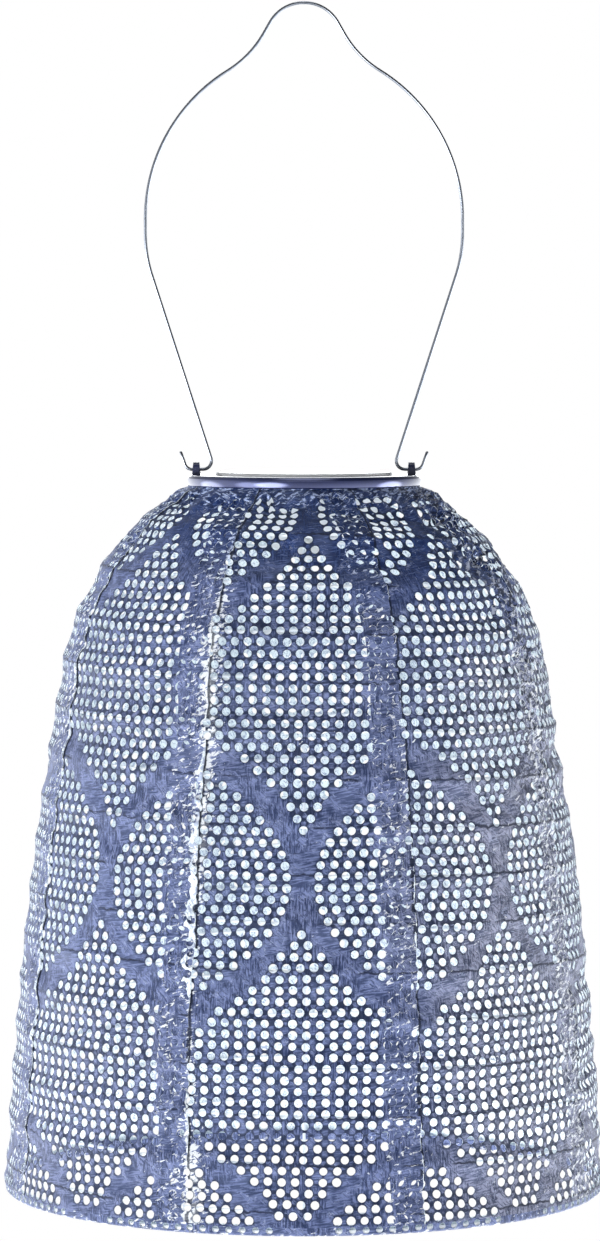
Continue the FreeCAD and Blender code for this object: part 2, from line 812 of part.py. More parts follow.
def make_switch_slider():
    """A stem in the slot, and a knob outside that slides along X."""
    y = "size.switch_side"
    knob_foot = f"{CUP_FOOT} - size.slider_play - size.knob_height"
    stem = "size.knob_height + size.slider_play + size.cup_wall + size.switch_height / 4"
    pieces = [
        box("knob", "size.knob_length", "size.knob_width", "size.knob_height", "0", y, knob_foot),
        box("stem", "size.stem_length", "size.stem_width", stem, "0", y, knob_foot),
    ]
    return join("switch_slider", *pieces)


def make_light_unit():
    window_foot = f"{WINDOW_LEDGE} + size.bearing_clearance"
    window_radius = "size.window_radius - size.window_play"
    seal_level = f"{CUP_TOP} + size.seal_radius + size.bearing_clearance"
    return [
        make_cap_housing(),
        cylinder("solar_window", window_radius, "size.window_height", window_foot),
        make_solar_cell(),
        torus("housing_seal", "size.seal_circle", "size.seal_radius", seal_level),
        make_base_housing(),
        make_housing_screws(),
        make_circuit_board(),
        make_battery(),
        make_battery_contacts(),
        box(
            "battery_door",
            "size.door_length",
            "size.door_width",
            "size.cup_wall",
            "0",
            "size.battery_side",
            CUP_FOOT,
        ),
        make_led(),
        make_light_lens(),
        make_switch_body(),
        make_switch_slider(),
    ]


def make_frame():
    return [
        make_top_ring(),
        make_clamp_ring(),
        make_ear("ear_right", ""),
        make_ear("ear_left", "-"),
        make_ear_rivets(),
        make_spiral_wire(),
        make_expander_leg("expander_front", -1),
        make_expander_leg("expander_back", 1),
    ]


def check_and_write(pieces):
    """Stop on any failed object, then write each piece to its own file."""
    doc.recompute()
    for item in doc.Objects:
        if "Invalid" in item.State or "Error" in item.State:
            raise ValueError(f"{item.Label} did not compute: {item.State}")
    for piece in pieces:
        if piece.Shape.isNull() or not piece.Shape.isValid():
            raise ValueError(f"{piece.Label} has no valid shape")
    for piece in pieces:
        piece.Shape.exportStep(f"parts/{piece.Label}.step")
        box_size = piece.Shape.BoundBox
        solids = len(piece.Shape.Solids)
        print(f"{piece.Label:18} solids {solids} volume {piece.Shape.Volume:10.1f} mm3 "
              f"z {box_size.ZMin:8.2f} to {box_size.ZMax:8.2f}")


os.makedirs("parts", exist_ok=True)
doc = FreeCAD.newDocument("accordion_lantern")
sheet = make_sheet()
gores = [make_gore(number) for number in range(1, int(size("gore_count")) + 1)]
hem = [
    torus("hem_hoop", "size.hoop_radius", "size.hoop_wire", below_ring("hem_bend_drop")),
    make_hem_binding(),
]
check_and_write([make_handle_wire()] + make_frame() + gores + hem + make_light_unit())
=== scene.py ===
"""An accordion lantern of punched fabric on a spiral wire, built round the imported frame.

Lengths named here are millimetres in the frame's own axes: the origin is under the handle's apex,
the front is towards -Y and levels below the origin are negative. Meshes are made in metres.
"""

import math

import bpy
import numpy as np
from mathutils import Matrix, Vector, kdtree
from mathutils.geometry import delaunay_2d_cdt


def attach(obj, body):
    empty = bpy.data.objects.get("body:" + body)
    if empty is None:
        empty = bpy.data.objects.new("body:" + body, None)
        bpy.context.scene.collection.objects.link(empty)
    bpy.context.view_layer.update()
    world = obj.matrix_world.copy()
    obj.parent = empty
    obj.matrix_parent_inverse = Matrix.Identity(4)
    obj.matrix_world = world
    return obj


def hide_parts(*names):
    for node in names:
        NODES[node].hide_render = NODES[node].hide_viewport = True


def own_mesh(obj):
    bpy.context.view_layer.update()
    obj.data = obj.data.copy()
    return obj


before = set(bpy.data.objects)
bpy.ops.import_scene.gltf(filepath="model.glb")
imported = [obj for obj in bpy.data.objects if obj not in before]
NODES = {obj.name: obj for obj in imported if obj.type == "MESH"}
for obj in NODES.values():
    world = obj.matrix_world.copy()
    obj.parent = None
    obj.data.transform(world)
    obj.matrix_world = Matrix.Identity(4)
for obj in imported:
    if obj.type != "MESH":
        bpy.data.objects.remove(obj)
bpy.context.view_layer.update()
MM = 0.001
TAU = 2 * math.pi

# ---- the shade's form -----------------------------------------------------------------------

# Corners of the shade's outline as (radius, level), and the radii of the arcs between them.
COLLAR_TOP = (49.9, -204.2)
COLLAR_FOOT = (49.9, -207.5)
SHOULDER_START = (52.0, -208.5)
SHOULDER_END = (105.0, -288.0)
SHADE_FOOT = (129.4, -507.3)
SHOULDER_ARC = 106.0
SIDE_ARC = 1735.0
GORES = 8
FRONT = -math.pi / 2

# The spiral wire: its drop per turn, a level at which it is at angle 0, how far it runs inside
# the outline, its radius, and the levels of its ends.
WIRE_PITCH = 19.75
WIRE_LEVEL = -231.0
WIRE_INSET = 1.25
WIRE_RADIUS = 0.6
WIRE_ENDS = (-213.6, -504.2)

# The cloth's thickness, the inner radius of its folds, how far it steps out over the next gore,
# about how wide they overlap, how far a hole's rim dips in, and the cloth's slack off the wire.
CLOTH = 0.2
FOLD = 0.35
STEP_OVER_SEAM = 0.35
LAP = 16.0
RIM_DIP = 0.12
EASE = 0.5

HOLE_RADIUS = 1.8
HOLE_SIDES = 12
COLUMN_PITCH = 5.6
LEAST_HOLE_SPACING = 2.25 * HOLE_RADIUS

# Holes in each row of the two cells at a gore's middle. The widest rows run on past both seams:
# a WIDE row has a space at the gore's middle and a WIDER one has a hole there.
WIDE, WIDER = 30, 31
UPPER_TIP, UPPER_FOOT = (1, 2, 3, 4, 5, 7, 9, 11), (13, 10, 8, 6, 4, 3, 2, 1)
LOWER_TIP, LOWER_FOOT = (1, 2, 4, 5, 6, 8, 10, 13, 14), (14, 12, 9, 7, 5, 4, 3, 2, 1)
UPPER_ROWS = UPPER_TIP + (WIDER,) * 2 + (WIDE,) * 2 + (WIDER,) * 5 + (WIDE,) * 2 + UPPER_FOOT
LOWER_ROWS = LOWER_TIP + (WIDE,) * 3 + (WIDER,) * 5 + (WIDE,) * 2 + LOWER_FOOT
MIDDLE_CELLS = ((30.6, 4.88, 5.55, UPPER_ROWS), (200.3, 4.63, 5.7, LOWER_ROWS))

# The cells that each seam runs through: each row starts further from the gore's middle.
SEAM_CELLS = (12.9, 178.9, 343.6)
SEAM_CELL_ROWS = 20
SEAM_CELL_PITCH = 4.62
SEAM_CELL_GAP = 6.4
SEAM_CELL_CURVE = 0.385


def smooth(x, low, high):
    t = np.clip((np.asarray(x, float) - low) / (high - low), 0, 1)
    return t * t * (3 - 2 * t)


def arc(start, end, radius, step=0.5):
    """Points of the arc from start to end that bulges away from the axis."""
    start, end = np.array(start), np.array(end)
    half = (end - start) / 2
    length = np.hypot(*half)
    inward = np.array([half[1], -half[0]]) / length
    centre = start + half + inward * math.sqrt(radius**2 - length**2)
    first, last = (math.atan2(*(p - centre)[::-1]) for p in (start, end))
    angles = np.linspace(first, last, max(2, round(abs(last - first) * radius / step)))
    return centre + radius * np.column_stack([np.cos(angles), np.sin(angles)])


def profile_table():
    """Length down the shade from the shoulder's start, radius, level and outward normal."""
    points = [np.linspace(COLLAR_TOP, COLLAR_FOOT, 14)[:-1]]
    points.append(np.linspace(COLLAR_FOOT, SHOULDER_START, 6)[:-1])
    points.append(arc(SHOULDER_START, SHOULDER_END, SHOULDER_ARC)[:-1])
    points.append(arc(SHOULDER_END, SHADE_FOOT, SIDE_ARC))
    points = np.vstack(points)
    points = np.vstack([points, points[-1] + (points[-1] - points[-2]) * 12])
    lengths = np.concatenate([[0], np.cumsum(np.hypot(*np.diff(points, axis=0).T))])
    way = np.gradient(points, lengths, axis=0)
    way = np.column_stack([np.convolve(np.pad(w, 2, "edge"), np.ones(5) / 5, "valid") for w in way.T])
    way /= np.hypot(*way.T)[:, None]
    lengths -= np.interp(SHOULDER_START[0], points[:30, 0], lengths[:30])
    return lengths, points[:, 0], points[:, 1], -way[:, 1], way[:, 0]


PROFILE = profile_table()
TOP_V = PROFILE[0][0] + 0.2
FOOT_V = float(np.interp(-SHADE_FOOT[1], -PROFILE[2], PROFILE[0])) + 1.0


def profile(v):
    """Radius, level and outward normal at the length v down the shade."""
    return [np.interp(v, PROFILE[0], column) for column in PROFILE[1:]]


def half_width(v):
    return math.pi * profile(v)[0] / GORES


# ---- the cloth's relief ---------------------------------------------------------------------


def crumple(rng, width, height, skew=0.0):
    """Smooth random heights from -1 to 1 over the whole shade, in cells of about that size."""
    across = round(TAU * 115 / width)
    down = round(360 / height)
    table = rng.uniform(-1, 1, (down + 2, across))

    def heights(angle, v):
        low = np.clip((np.asarray(v, float) + 20) / height, 0, down - 0.001)
        along = np.asarray(angle, float) / TAU * across + skew * low
        i, j = np.floor(along).astype(int), np.floor(low).astype(int)
        a, b = smooth(along - i, 0, 1), smooth(low - j, 0, 1)
        i, k = i % across, (i + 1) % across
        upper = table[j, i] * (1 - a) + table[j, k] * a
        lower = table[j + 1, i] * (1 - a) + table[j + 1, k] * a
        return upper * (1 - b) + lower * b

    return heights


def wander(rng, step, size):
    """A smooth random line down the shade that swings by up to size, with a knot every step."""
    knots = rng.uniform(-size, size, 500)

    def offset(v):
        place = (np.asarray(v, float) + 30) / step
        i = np.floor(place).astype(int)
        t = smooth(place - i, 0, 1)
        return knots[i] * (1 - t) + knots[i + 1] * t

    return offset


rng = np.random.default_rng(21)
FINE = crumple(rng, 7, 3.2, 0.4)
FINE_TWO = crumple(rng, 4.5, 4.2, -0.6)
MIDDLE = crumple(rng, 26, 14, 0.3)
BROAD = crumple(rng, 60, 45)
PUCKER = crumple(rng, 9, 5.5)
GATHER_SHIFT = crumple(rng, 18, 12)
GATHER_SIZE = crumple(rng, 24, 14)
DRIFT_S = crumple(rng, 24, 20)
DRIFT_V = crumple(rng, 16, 24)


def wire_turn(angle, v):
    """The level counted in turns of the spiral wire: a whole number where a turn runs."""
    _, z, _, nz = profile(v)
    return (z - WIRE_INSET * nz - WIRE_LEVEL) / WIRE_PITCH + angle / TAU


def wire_distance(angle, v):
    """Height from the nearest turn of the spiral wire."""
    turn = wire_turn(angle, v)
    return (turn - np.round(turn)) * WIRE_PITCH


def seam_distance(angle, v):
    """Distance round the shade from the nearest seam."""
    part = TAU / GORES
    return np.abs((angle - FRONT) % part - part / 2) * profile(v)[0]


def relief(angle, v):
    """How far the cloth stands out from its profile: it sags between wires and is creased.

    It is more crumpled near the ring and at the right.
    """
    _, _, nr, _ = profile(v)
    near = np.sqrt(wire_distance(angle, v) ** 2 + 0.64) - 0.8
    sag = 1 - (1 - np.clip(near / (WIRE_PITCH / 2), 0, 1)) ** 2
    free = smooth(v, 0, 9) * (1 - 0.8 * smooth(v, 310, 319))
    depth = (1.25 + 1.1 * (1 - nr) + 0.35 * BROAD(angle, v)) * free
    creases = 0.20 * (1 - 2 * np.abs(FINE(angle, v))) + 0.16 * (1 - 2 * np.abs(FINE_TWO(angle, v)))
    creases = creases + 0.55 * MIDDLE(angle, v) * sag
    crumpled = 2.5 - 1.5 * smooth(v, 25, 95) + 1.8 * smooth(np.cos(angle), 0.35, 0.95)
    creases = creases * (0.3 + 0.7 * sag) * smooth(v, -2, 3) * crumpled
    waves = np.sin(angle * 62 + 4.5 * GATHER_SHIFT(angle, v)) * (0.6 + 0.6 * GATHER_SIZE(angle, v))
    gathers = 1.15 * waves * smooth(v, -2, 1.5) * np.exp(-((np.maximum(v, 0) / 11) ** 2))
    seams = 0.75 * PUCKER(angle, v) * np.exp(-((seam_distance(angle, v) / 8) ** 2))
    seams = seams * smooth(v, 2, 14) * (0.25 + 0.75 * sag)
    return EASE * free - depth * sag + creases + gathers + seams


def place_cloth(angle, v, lift):
    """Places on the shade, with the profile's normal and the way round it there."""
    r, z, nr, nz = profile(v)
    out = relief(angle, v) + lift
    across, up = np.cos(angle), np.sin(angle)
    reach = r + nr * out
    places = np.column_stack([reach * across, reach * up, z + nz * out])
    normals = np.column_stack([nr * across, nr * up, nz])
    ways = np.column_stack([-up, across, np.zeros_like(up)])
    return places, normals, ways


# ---- mesh helpers ---------------------------------------------------------------------------


def new_object(name, points, faces, body):
    mesh = bpy.data.meshes.new(name)
    mesh.from_pydata((np.asarray(points) * MM).tolist(), [], faces)
    mesh.validate()
    mesh.polygons.foreach_set("use_smooth", [True] * len(mesh.polygons))
    obj = bpy.data.objects.new(name, mesh)
    bpy.context.scene.collection.objects.link(obj)
    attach(obj, body)
    return obj


def thick_sheet(name, places, normals, triangles, body):
    """A cut sheet with its lining a little way under it and the cut edges between them."""
    count = len(places)
    sides = np.concatenate([triangles[:, [0, 1]], triangles[:, [1, 2]], triangles[:, [2, 0]]])
    ahead = sides[:, 0] * count + sides[:, 1]
    back = sides[:, 1] * count + sides[:, 0]
    edge = sides[~np.isin(ahead, back)]
    rim = np.column_stack([edge[:, 1], edge[:, 0], edge[:, 0] + count, edge[:, 1] + count])
    faces = triangles.tolist() + (triangles[:, ::-1] + count).tolist() + rim.tolist()
    obj = new_object(name, np.vstack([places, places - normals * CLOTH]), faces, body)
    mesh = obj.data
    finish = np.ones(len(faces), int)
    finish[: len(triangles)] = 0
    mesh.polygons.foreach_set("material_index", finish.tolist())
    mesh.set_sharp_from_angle(angle=math.radians(55))
    return obj


def add_point_values(obj, **values):
    """Values at each point, the same on the sheet and on its lining."""
    for name, value in values.items():
        attribute = obj.data.attributes.new(name, "FLOAT", "POINT")
        attribute.data.foreach_set("value", np.tile(value, 2).astype(np.float32))


def add_cloth_map(obj, s, v):
    layer = obj.data.uv_layers.new(name="cloth")
    corners = np.zeros(len(obj.data.loops), int)
    obj.data.loops.foreach_get("vertex_index", corners)
    flat = np.column_stack([np.tile(s, 2), np.tile(v, 2)])[corners] / 100
    layer.data.foreach_set("uv", flat.ravel().astype(np.float32))


def trace(*sides):
    """Joins sides of flat points, each given as (s, level), where a lone number is repeated."""
    return np.vstack([np.column_stack(np.broadcast_arrays(s, level)) for s, level in sides])


def cut_flat(outline, holes, spare):
    """Triangulates a flat outline with round holes. Returns its points and triangles."""
    points = [outline]
    loops = [np.arange(len(outline))]
    total = len(outline)
    for x, y, radius, turn in holes:
        angles = turn + np.arange(HOLE_SIDES) * TAU / HOLE_SIDES
        points.append(trace((x + radius * np.cos(angles), y + radius * np.sin(angles))))
        loops.append(np.arange(HOLE_SIDES) + total)
        total += HOLE_SIDES
    points.append(spare)
    edges = np.vstack([np.column_stack([loop, np.roll(loop, -1)]) for loop in loops])
    places = [Vector(p) for p in np.vstack(points)]
    made = delaunay_2d_cdt(places, edges.tolist(), [], 0, 1e-5)
    return np.array([tuple(p) for p in made[0]]), np.array([f for f in made[2] if len(f) == 3])


def drop_unused(points, triangles):
    used, order = np.unique(triangles, return_inverse=True)
    return points[used], order.reshape(triangles.shape)


def nearest_holes(places, holes):
    """The radius of the hole nearest to each place, and the distance to that hole's middle."""
    tree = kdtree.KDTree(len(holes))
    for i, (x, y, _, _) in enumerate(holes):
        tree.insert((x, y, 0), i)
    tree.balance()
    found = [tree.find((x, y, 0)) for x, y in places]
    return np.array([(holes[i][2], distance) for _, i, distance in found]).T


def outside_holes(places, holes):
    """True for each place that no hole covers."""
    radius, distance = nearest_holes(places, holes)
    return distance > 0.94 * radius


# ---- the gores ------------------------------------------------------------------------------


def punched_rows():
    """Rows of holes as (v, distances from the gore's middle, column pitch)."""
    rows = []
    for top, row_pitch, pitch, counts in MIDDLE_CELLS:
        for i, count in enumerate(counts):
            rows.append((top + i * row_pitch, (np.arange(count) - (count - 1) / 2) * pitch, pitch))
    for middle in SEAM_CELLS:
        for i in range(SEAM_CELL_ROWS):
            k = i - (SEAM_CELL_ROWS - 1) / 2
            start = SEAM_CELL_GAP + SEAM_CELL_CURVE * k**2
            right = start + np.arange(16) * COLUMN_PITCH
            places = np.concatenate([-right[::-1], right])
            rows.append((middle + k * SEAM_CELL_PITCH, places, COLUMN_PITCH))
    return rows


# How far each gore's pattern is printed out of line, at these lengths down the shade.
LEAN_AT = (30, 150, 200, 285, 322)
LEANS = np.random.default_rng(5).uniform(-1.8, 1.8, (GORES, len(LEAN_AT)))
LEANS[0] = (1.8, 0, -1.2, -2.9, -4.8)


def lean(number, v):
    return float(np.interp(v, LEAN_AT, LEANS[(number - 1) % GORES]))


def gore_holes(rng, number, left, right):
    """The gore's holes as (s, v, radius, turn), a little out of line as in worn cloth.

    The lap under the gore on the left has holes halfway between that gore's columns and rows.
    """
    past_seam, plain_top, plain_foot = 1.6, 5, 2.4
    found = []
    slip = wander(rng, 40, 1.2)
    for v, places, pitch in punched_rows():
        if not plain_top < v < FOOT_V - plain_foot:
            continue
        squeeze = 0.88 + 0.12 * float(smooth(v, 0, 50))
        places = places * squeeze
        edge = float(half_width(v)) + past_seam
        shown = places + lean(number, v)
        lapped = places + lean(number - 1, v) + pitch * squeeze / 2 - 2 * (edge - past_seam)
        places = np.concatenate([shown[shown > -edge], lapped[lapped < -edge]])
        low, high = left(v) - HOLE_RADIUS, right(v) + HOLE_RADIUS
        for s in places[(places > low) & (places < high)]:
            lost_near_ring = v < 15 and rng.random() < 0.25
            if lost_near_ring:
                continue
            turn = gore_angle(number) + s / profile(v)[0]
            x = s + 0.3 * float(DRIFT_S(turn, v)) + rng.normal(0, 0.06)
            y = v + 0.4 * float(DRIFT_V(turn, v)) + rng.normal(0, 0.06)
            y = y + (SEAM_CELL_PITCH / 2 + float(slip(v))) * (s < -edge)
            radius = HOLE_RADIUS * (1 + np.clip(rng.normal(0, 0.03), -0.08, 0.08))
            radius = radius * (0.86 + 0.14 * float(smooth(v, 4, 26)))
            found.append((x, y, radius, rng.uniform(0, 0.5)))
    kept = []
    for hole in found:
        recent = kept[-70:]
        if all(math.hypot(hole[0] - k[0], hole[1] - k[1]) > LEAST_HOLE_SPACING for k in recent):
            kept.append(hole)
    return kept


# The turned-back edge at each gore's right, as (v, width) pairs. Gore 8's, which is left of the
# front, is the widest and most frayed one.
WIDEST_EDGE = ((10, 0), (122, 0), (134, 1.0), (155, 2.0), (200, 2.9), (222, 3.4), (228, 0))
BELOW_WIDEST = ((258, 0), (270, 0.7), (284, 0.6), (292, 0), (316, 0))
TURNED_EDGES = {
    8: WIDEST_EDGE + BELOW_WIDEST,
    1: ((10, 0), (150, 0), (200, 0.3), (230, 0), (316, 0.2)),
    2: ((10, 0), (60, 0.2), (80, 0), (230, 0), (260, 0.5), (316, 0)),
    3: ((10, 0), (90, 0.9), (120, 0), (250, 0.3), (260, 1.4), (290, 0), (316, 0)),
    4: ((10, 0), (70, 0), (140, 1.2), (170, 0), (250, 1.6), (316, 0.4)),
    5: ((10, 0), (80, 0.6), (130, 0), (190, 1.8), (240, 0.2), (316, 0.8)),
    6: ((10, 0), (60, 0.8), (100, 0), (240, 0.9), (280, 0)),
    7: ((10, 0), (50, 0.1), (120, 0.3), (140, 0), (210, 0.4), (316, 0)),
}

# How worn the cloth is beside a seam, as (v, amount, reach) rows. The seam at the right of
# gore 8 is the worst.
WORN_SEAM = 8
WORN_ABOVE = ((0, 0.5, 4), (50, 0.8, 5), (75, 1.25, 7), (165, 1.1, 7))
WORN_BELOW = ((195, 0.7, 4), (280, 0.8, 5), (292, 1.2, 9))
USUAL_WEAR = ((0, 0.4, 3), (120, 0.35, 3), (316, 0.45, 3))


def seam_wear(number, v):
    """The amount and the reach of the wear at the seam on a gore's right."""
    worst = (number - WORN_SEAM) % GORES == 0
    table = np.array(WORN_ABOVE + WORN_BELOW if worst else USUAL_WEAR)
    return np.interp(v, table[:, 0], table[:, 1]), np.interp(v, table[:, 0], table[:, 2])


def gore_angle(number):
    return FRONT + TAU / GORES * (number - 1)


def seam_sway(number, v):
    """How far the seam on a gore's right wanders from its line."""
    return SWAYS[(number - 1) % GORES](v) * smooth(v, 0, 20)


SWAYS = [wander(np.random.default_rng(200 + i), 38, 1.1) for i in range(GORES)]


def line_down(levels, values):
    """A line down the shade, read off between these levels."""
    return lambda v: np.interp(v, levels, values)


def gore_edges(rng, number, levels):
    """The gore's left edge, the seam on its right, and the edge that is folded back there."""
    lap_sway = wander(rng, 30, 1.6)
    fray, fray_fine = wander(rng, 5.5, 0.55), wander(rng, 2.2, 0.35)
    turned = np.array(TURNED_EDGES[number])
    seam = half_width(levels) + seam_sway(number, levels)
    width = np.interp(levels, turned[:, 0], turned[:, 1])
    width = width * (1 + fray(levels) + fray_fine(levels)) + 0.35 * fray_fine(levels)
    folded = np.clip(width + math.pi * FOLD * smooth(width, -0.1, 0.5), 0, None)
    left_edge = -half_width(levels) - LAP + 2 + lap_sway(levels)
    return left_edge, seam, seam + folded * smooth(levels, 4, 10)


def gore_outline(levels, left_edge, right_edge):
    top_row = np.linspace(left_edge[0], right_edge[0], 40)[1:-1]
    foot_row = np.linspace(left_edge[-1], right_edge[-1], 76)[1:-1]
    down, foot = (left_edge, -levels), (foot_row, -FOOT_V)
    up, top = (right_edge[::-1], -levels[::-1]), (top_row[::-1], -TOP_V)
    return trace(down, foot, up, top)


def loose_points(rng, left, seam, right):
    """A jittered grid of points over the flat gore, and close columns of them round the fold."""
    spacing = 2.35
    grid = []
    for row, v in enumerate(np.arange(TOP_V + 1.2, FOOT_V - 1, spacing * 0.87)):
        s = np.arange(left(v) + 1.2 + (row % 2) * spacing / 2, right(v) - 0.8, spacing)
        grid.append(trace((s, v)))
    grid = np.vstack(grid)
    grid = grid + rng.uniform(-0.45, 0.45, grid.shape)
    grid = grid[grid[:, 0] < seam(grid[:, 1]) - 0.5]
    columns = np.concatenate([np.linspace(-0.3, math.pi * FOLD + 0.3, 7), [2.6, 3.8, 5.0]])
    fold_levels = np.arange(TOP_V + 1.5, FOOT_V - 1, 1.5)
    fold_v, fold_s = np.meshgrid(fold_levels, columns, indexing="ij")
    fold = trace(((seam(fold_v) + fold_s).ravel(), fold_v.ravel()))
    fold = fold[fold[:, 0] < right(fold[:, 1]) - 0.15]
    return np.vstack([grid, fold]) * (1, -1)


def cut_gore(outline, holes, spare, left, right):
    """The punched gore, flat: its points and triangles."""
    _, distance = nearest_holes(spare, holes)
    points, triangles = cut_flat(outline, holes, spare[distance > HOLE_RADIUS + 0.3])
    centres = points[triangles].mean(axis=1)
    s, v = centres[:, 0], -centres[:, 1]
    inside = (s > left(v)) & (s < right(v)) & (v > TOP_V) & (v < FOOT_V)
    triangles = triangles[inside]
    triangles = triangles[outside_holes(centres[inside], holes)]
    return drop_unused(points, triangles)


def fold_gore(rng, number, s, v, seam, rim):
    """The angle, place and outward direction of each point, once the gore is on the shade.

    It is folded over at the seam: half a turn, then back along the outside. Its right part lies
    on the lap of the next gore, so it steps out there, and the lap goes under in the collar.
    """
    past = np.clip(s - seam(v), 0, None)
    bend = np.clip(past / FOLD, 0, math.pi)
    back = np.clip(past - math.pi * FOLD, 0, None)
    curl = wander(rng, 7, 0.09)
    along = np.minimum(s, seam(v)) + FOLD * np.sin(bend) - back
    height = FOLD * (1 - np.cos(bend)) + back * (0.13 + curl(v))
    in_collar = 1 - smooth(v, -2, 4)
    over = STEP_OVER_SEAM * smooth(along - half_width(v), -LAP - 4, -LAP) * (1 - in_collar)
    under = 0.3 * in_collar * smooth(-s - half_width(v), -1, 1)
    foot = 0.6 * smooth(v, FOOT_V - 6, FOOT_V - 1.5)
    angle = gore_angle(number) + along / profile(v)[0]
    places, normals, ways = place_cloth(angle, v, over - under + foot)
    places = places + normals * (height - RIM_DIP * rim)[:, None]
    return angle, places, normals * np.cos(bend)[:, None] - ways * np.sin(bend)[:, None]


def mark_gore(gore, number, s, v, seam, rim, angle):
    """Point values for the material. The tone value runs from 0, darkened by painted shade, over 1,
    faded, to 2, bleached.
    """
    to_right = np.cos(angle)
    # Painted shade: darker near the ring, reaching further down at the right, and in a band at the low
    # front.
    low_front_shade = 0.42 * smooth(v, 190, 245) * smooth(-np.sin(angle), 0.85, 1.0)
    fade = smooth(v - 18 * to_right, 8, 85) - low_front_shade
    bleach = 0.15 + 0.85 * smooth(to_right, 0.2, 0.9) + 0.2 * BROAD(angle, v)
    from_left = s + half_width(v) - seam_sway(number - 1, v)
    from_right = seam(v) - s
    lapped = np.maximum(smooth(from_right, LAP + 2, LAP - 2), smooth(from_left, 2, -2))
    left_amount, left_reach = seam_wear(number - 1, v)
    right_amount, right_reach = seam_wear(number, v)[0], 2.2
    wear = left_amount * np.exp(-((from_left / left_reach) ** 2))
    wear = np.maximum(wear, right_amount * np.exp(-((np.maximum(from_right, 0) / right_reach) ** 2)))
    wear = np.maximum(wear, 0.5 * smooth(from_right, LAP + 2, LAP - 3))
    add_point_values(
        gore,
        turn=wire_turn(angle, v),
        fade=fade + np.clip(bleach, 0, 1) * smooth(v, 60, 110),
        crush=smooth(to_right, 0.60, 0.92) * (1 - 0.6 * smooth(v, 110, 210)),
        seam=from_left,
        rim=rim * (1 - 0.7 * lapped),
        wear=np.maximum(wear, 0.75 * np.exp(-((np.maximum(v, 0) / 14) ** 2))),
    )


def make_gore(number):
    rng = np.random.default_rng(100 + number)
    levels = np.linspace(TOP_V, FOOT_V, 232)
    left_edge, seam_edge, right_edge = gore_edges(rng, number, levels)
    left, seam, right = (line_down(levels, edge) for edge in (left_edge, seam_edge, right_edge))
    holes = [(s, -v, radius, turn) for s, v, radius, turn in gore_holes(rng, number, left, right)]
    outline = gore_outline(levels, left_edge, right_edge)
    points, triangles = cut_gore(outline, holes, loose_points(rng, left, seam, right), left, right)
    s, v = points[:, 0], -points[:, 1]
    radius, distance = nearest_holes(points, holes)
    rim = (distance < radius + 0.05).astype(float)
    angle, places, faces_out = fold_gore(rng, number, s, v, seam, rim)

    gore = thick_sheet(f"shade_gore_{number}", places, faces_out, triangles, "lantern_frame")
    add_cloth_map(gore, s + 37.0 * number, v)
    mark_gore(gore, number, s, v, seam, rim, angle)
    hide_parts(f"gore_{number}")
    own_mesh(gore)
    return gore


# ---- hem, wires, ring -----------------------------------------------------------------------

HOOP_RADIUS = 128.2
HEM_BEND = -510.5
HEM_TOP = -507.7
HEM_OUTSIDE = 1.5
FOOT_MARGIN = 14.2


def make_hem():
    """The strip of cloth folded up inside round the hoop, punched where the cells run into it."""
    rng = np.random.default_rng(77)
    straight = HEM_TOP - HEM_BEND
    turn = math.pi * HEM_OUTSIDE
    width = 2 * straight + turn
    girth = TAU * HOOP_RADIUS
    holes = []
    half_gore = TAU / GORES / 2
    for middle in FRONT + TAU / GORES * np.arange(GORES):
        for side in (-1, 1):
            for s in side * np.arange(FOOT_MARGIN, half_gore * HOOP_RADIUS - 1, COLUMN_PITCH):
                x = (middle - FRONT + half_gore) * HOOP_RADIUS + s
                holes.append((x, 1.9 + rng.uniform(-0.15, 0.15), 1.45, rng.uniform(0, 0.5)))
    holes = [hole for hole in holes if 2.2 < hole[0] < girth - 2.2]
    x = np.linspace(0, girth, 560)
    y = np.linspace(0, width, 9)[1:-1]
    outline = trace((x, 0.0), (girth, y), (x[::-1], width), (0.0, y[::-1]))
    x, y = np.meshgrid(np.arange(1.4, girth - 1, 1.4), np.linspace(0, width, 10)[1:-1])
    spare = trace((x.ravel(), y.ravel()))
    centres = np.array([hole[:2] for hole in holes])
    near = [np.hypot(*(centres[np.abs(centres[:, 0] - px) < 3] - (px, py)).T) for px, py in spare]
    spare = spare[np.array([len(d) == 0 or d.min() > 1.85 for d in near])]
    points, triangles = cut_flat(outline, holes, spare)
    triangles = triangles[outside_holes(points[triangles].mean(axis=1), holes)]
    points, triangles = drop_unused(points, triangles)

    angle = FRONT - half_gore + points[:, 0] / HOOP_RADIUS
    bend = np.clip((points[:, 1] - straight) / HEM_OUTSIDE, 0, math.pi)
    rise = np.clip(points[:, 1] - straight - turn, 0, None)
    uneven = 0.13 * PUCKER(angle, 300.0) + 0.07 * FINE(angle, 300.0 + 4 * bend)
    reach = HOOP_RADIUS + (HEM_OUTSIDE + uneven) * np.cos(bend)
    level = HEM_BEND + np.clip(straight - points[:, 1], 0, None) - HEM_OUTSIDE * np.sin(bend) + rise
    across, up = np.cos(angle), np.sin(angle)
    places = np.column_stack([reach * across, reach * up, level])
    normals = np.column_stack([np.cos(bend) * across, np.cos(bend) * up, -np.sin(bend)])
    hem = thick_sheet("hem_cloth", places, normals, triangles[:, ::-1], "hem")
    add_cloth_map(hem, points[:, 0] + 700, points[:, 1] + 330)
    between_turns, far_from_seam, ones = 0.25, 20.0, np.ones(len(points))
    add_point_values(hem, turn=between_turns * ones, seam=far_from_seam * ones, rim=0 * ones)
    add_point_values(hem, fade=ones, crush=0 * ones, wear=0.35 + 0.45 * np.sin(bend))
    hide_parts("hem_binding")
    return hem


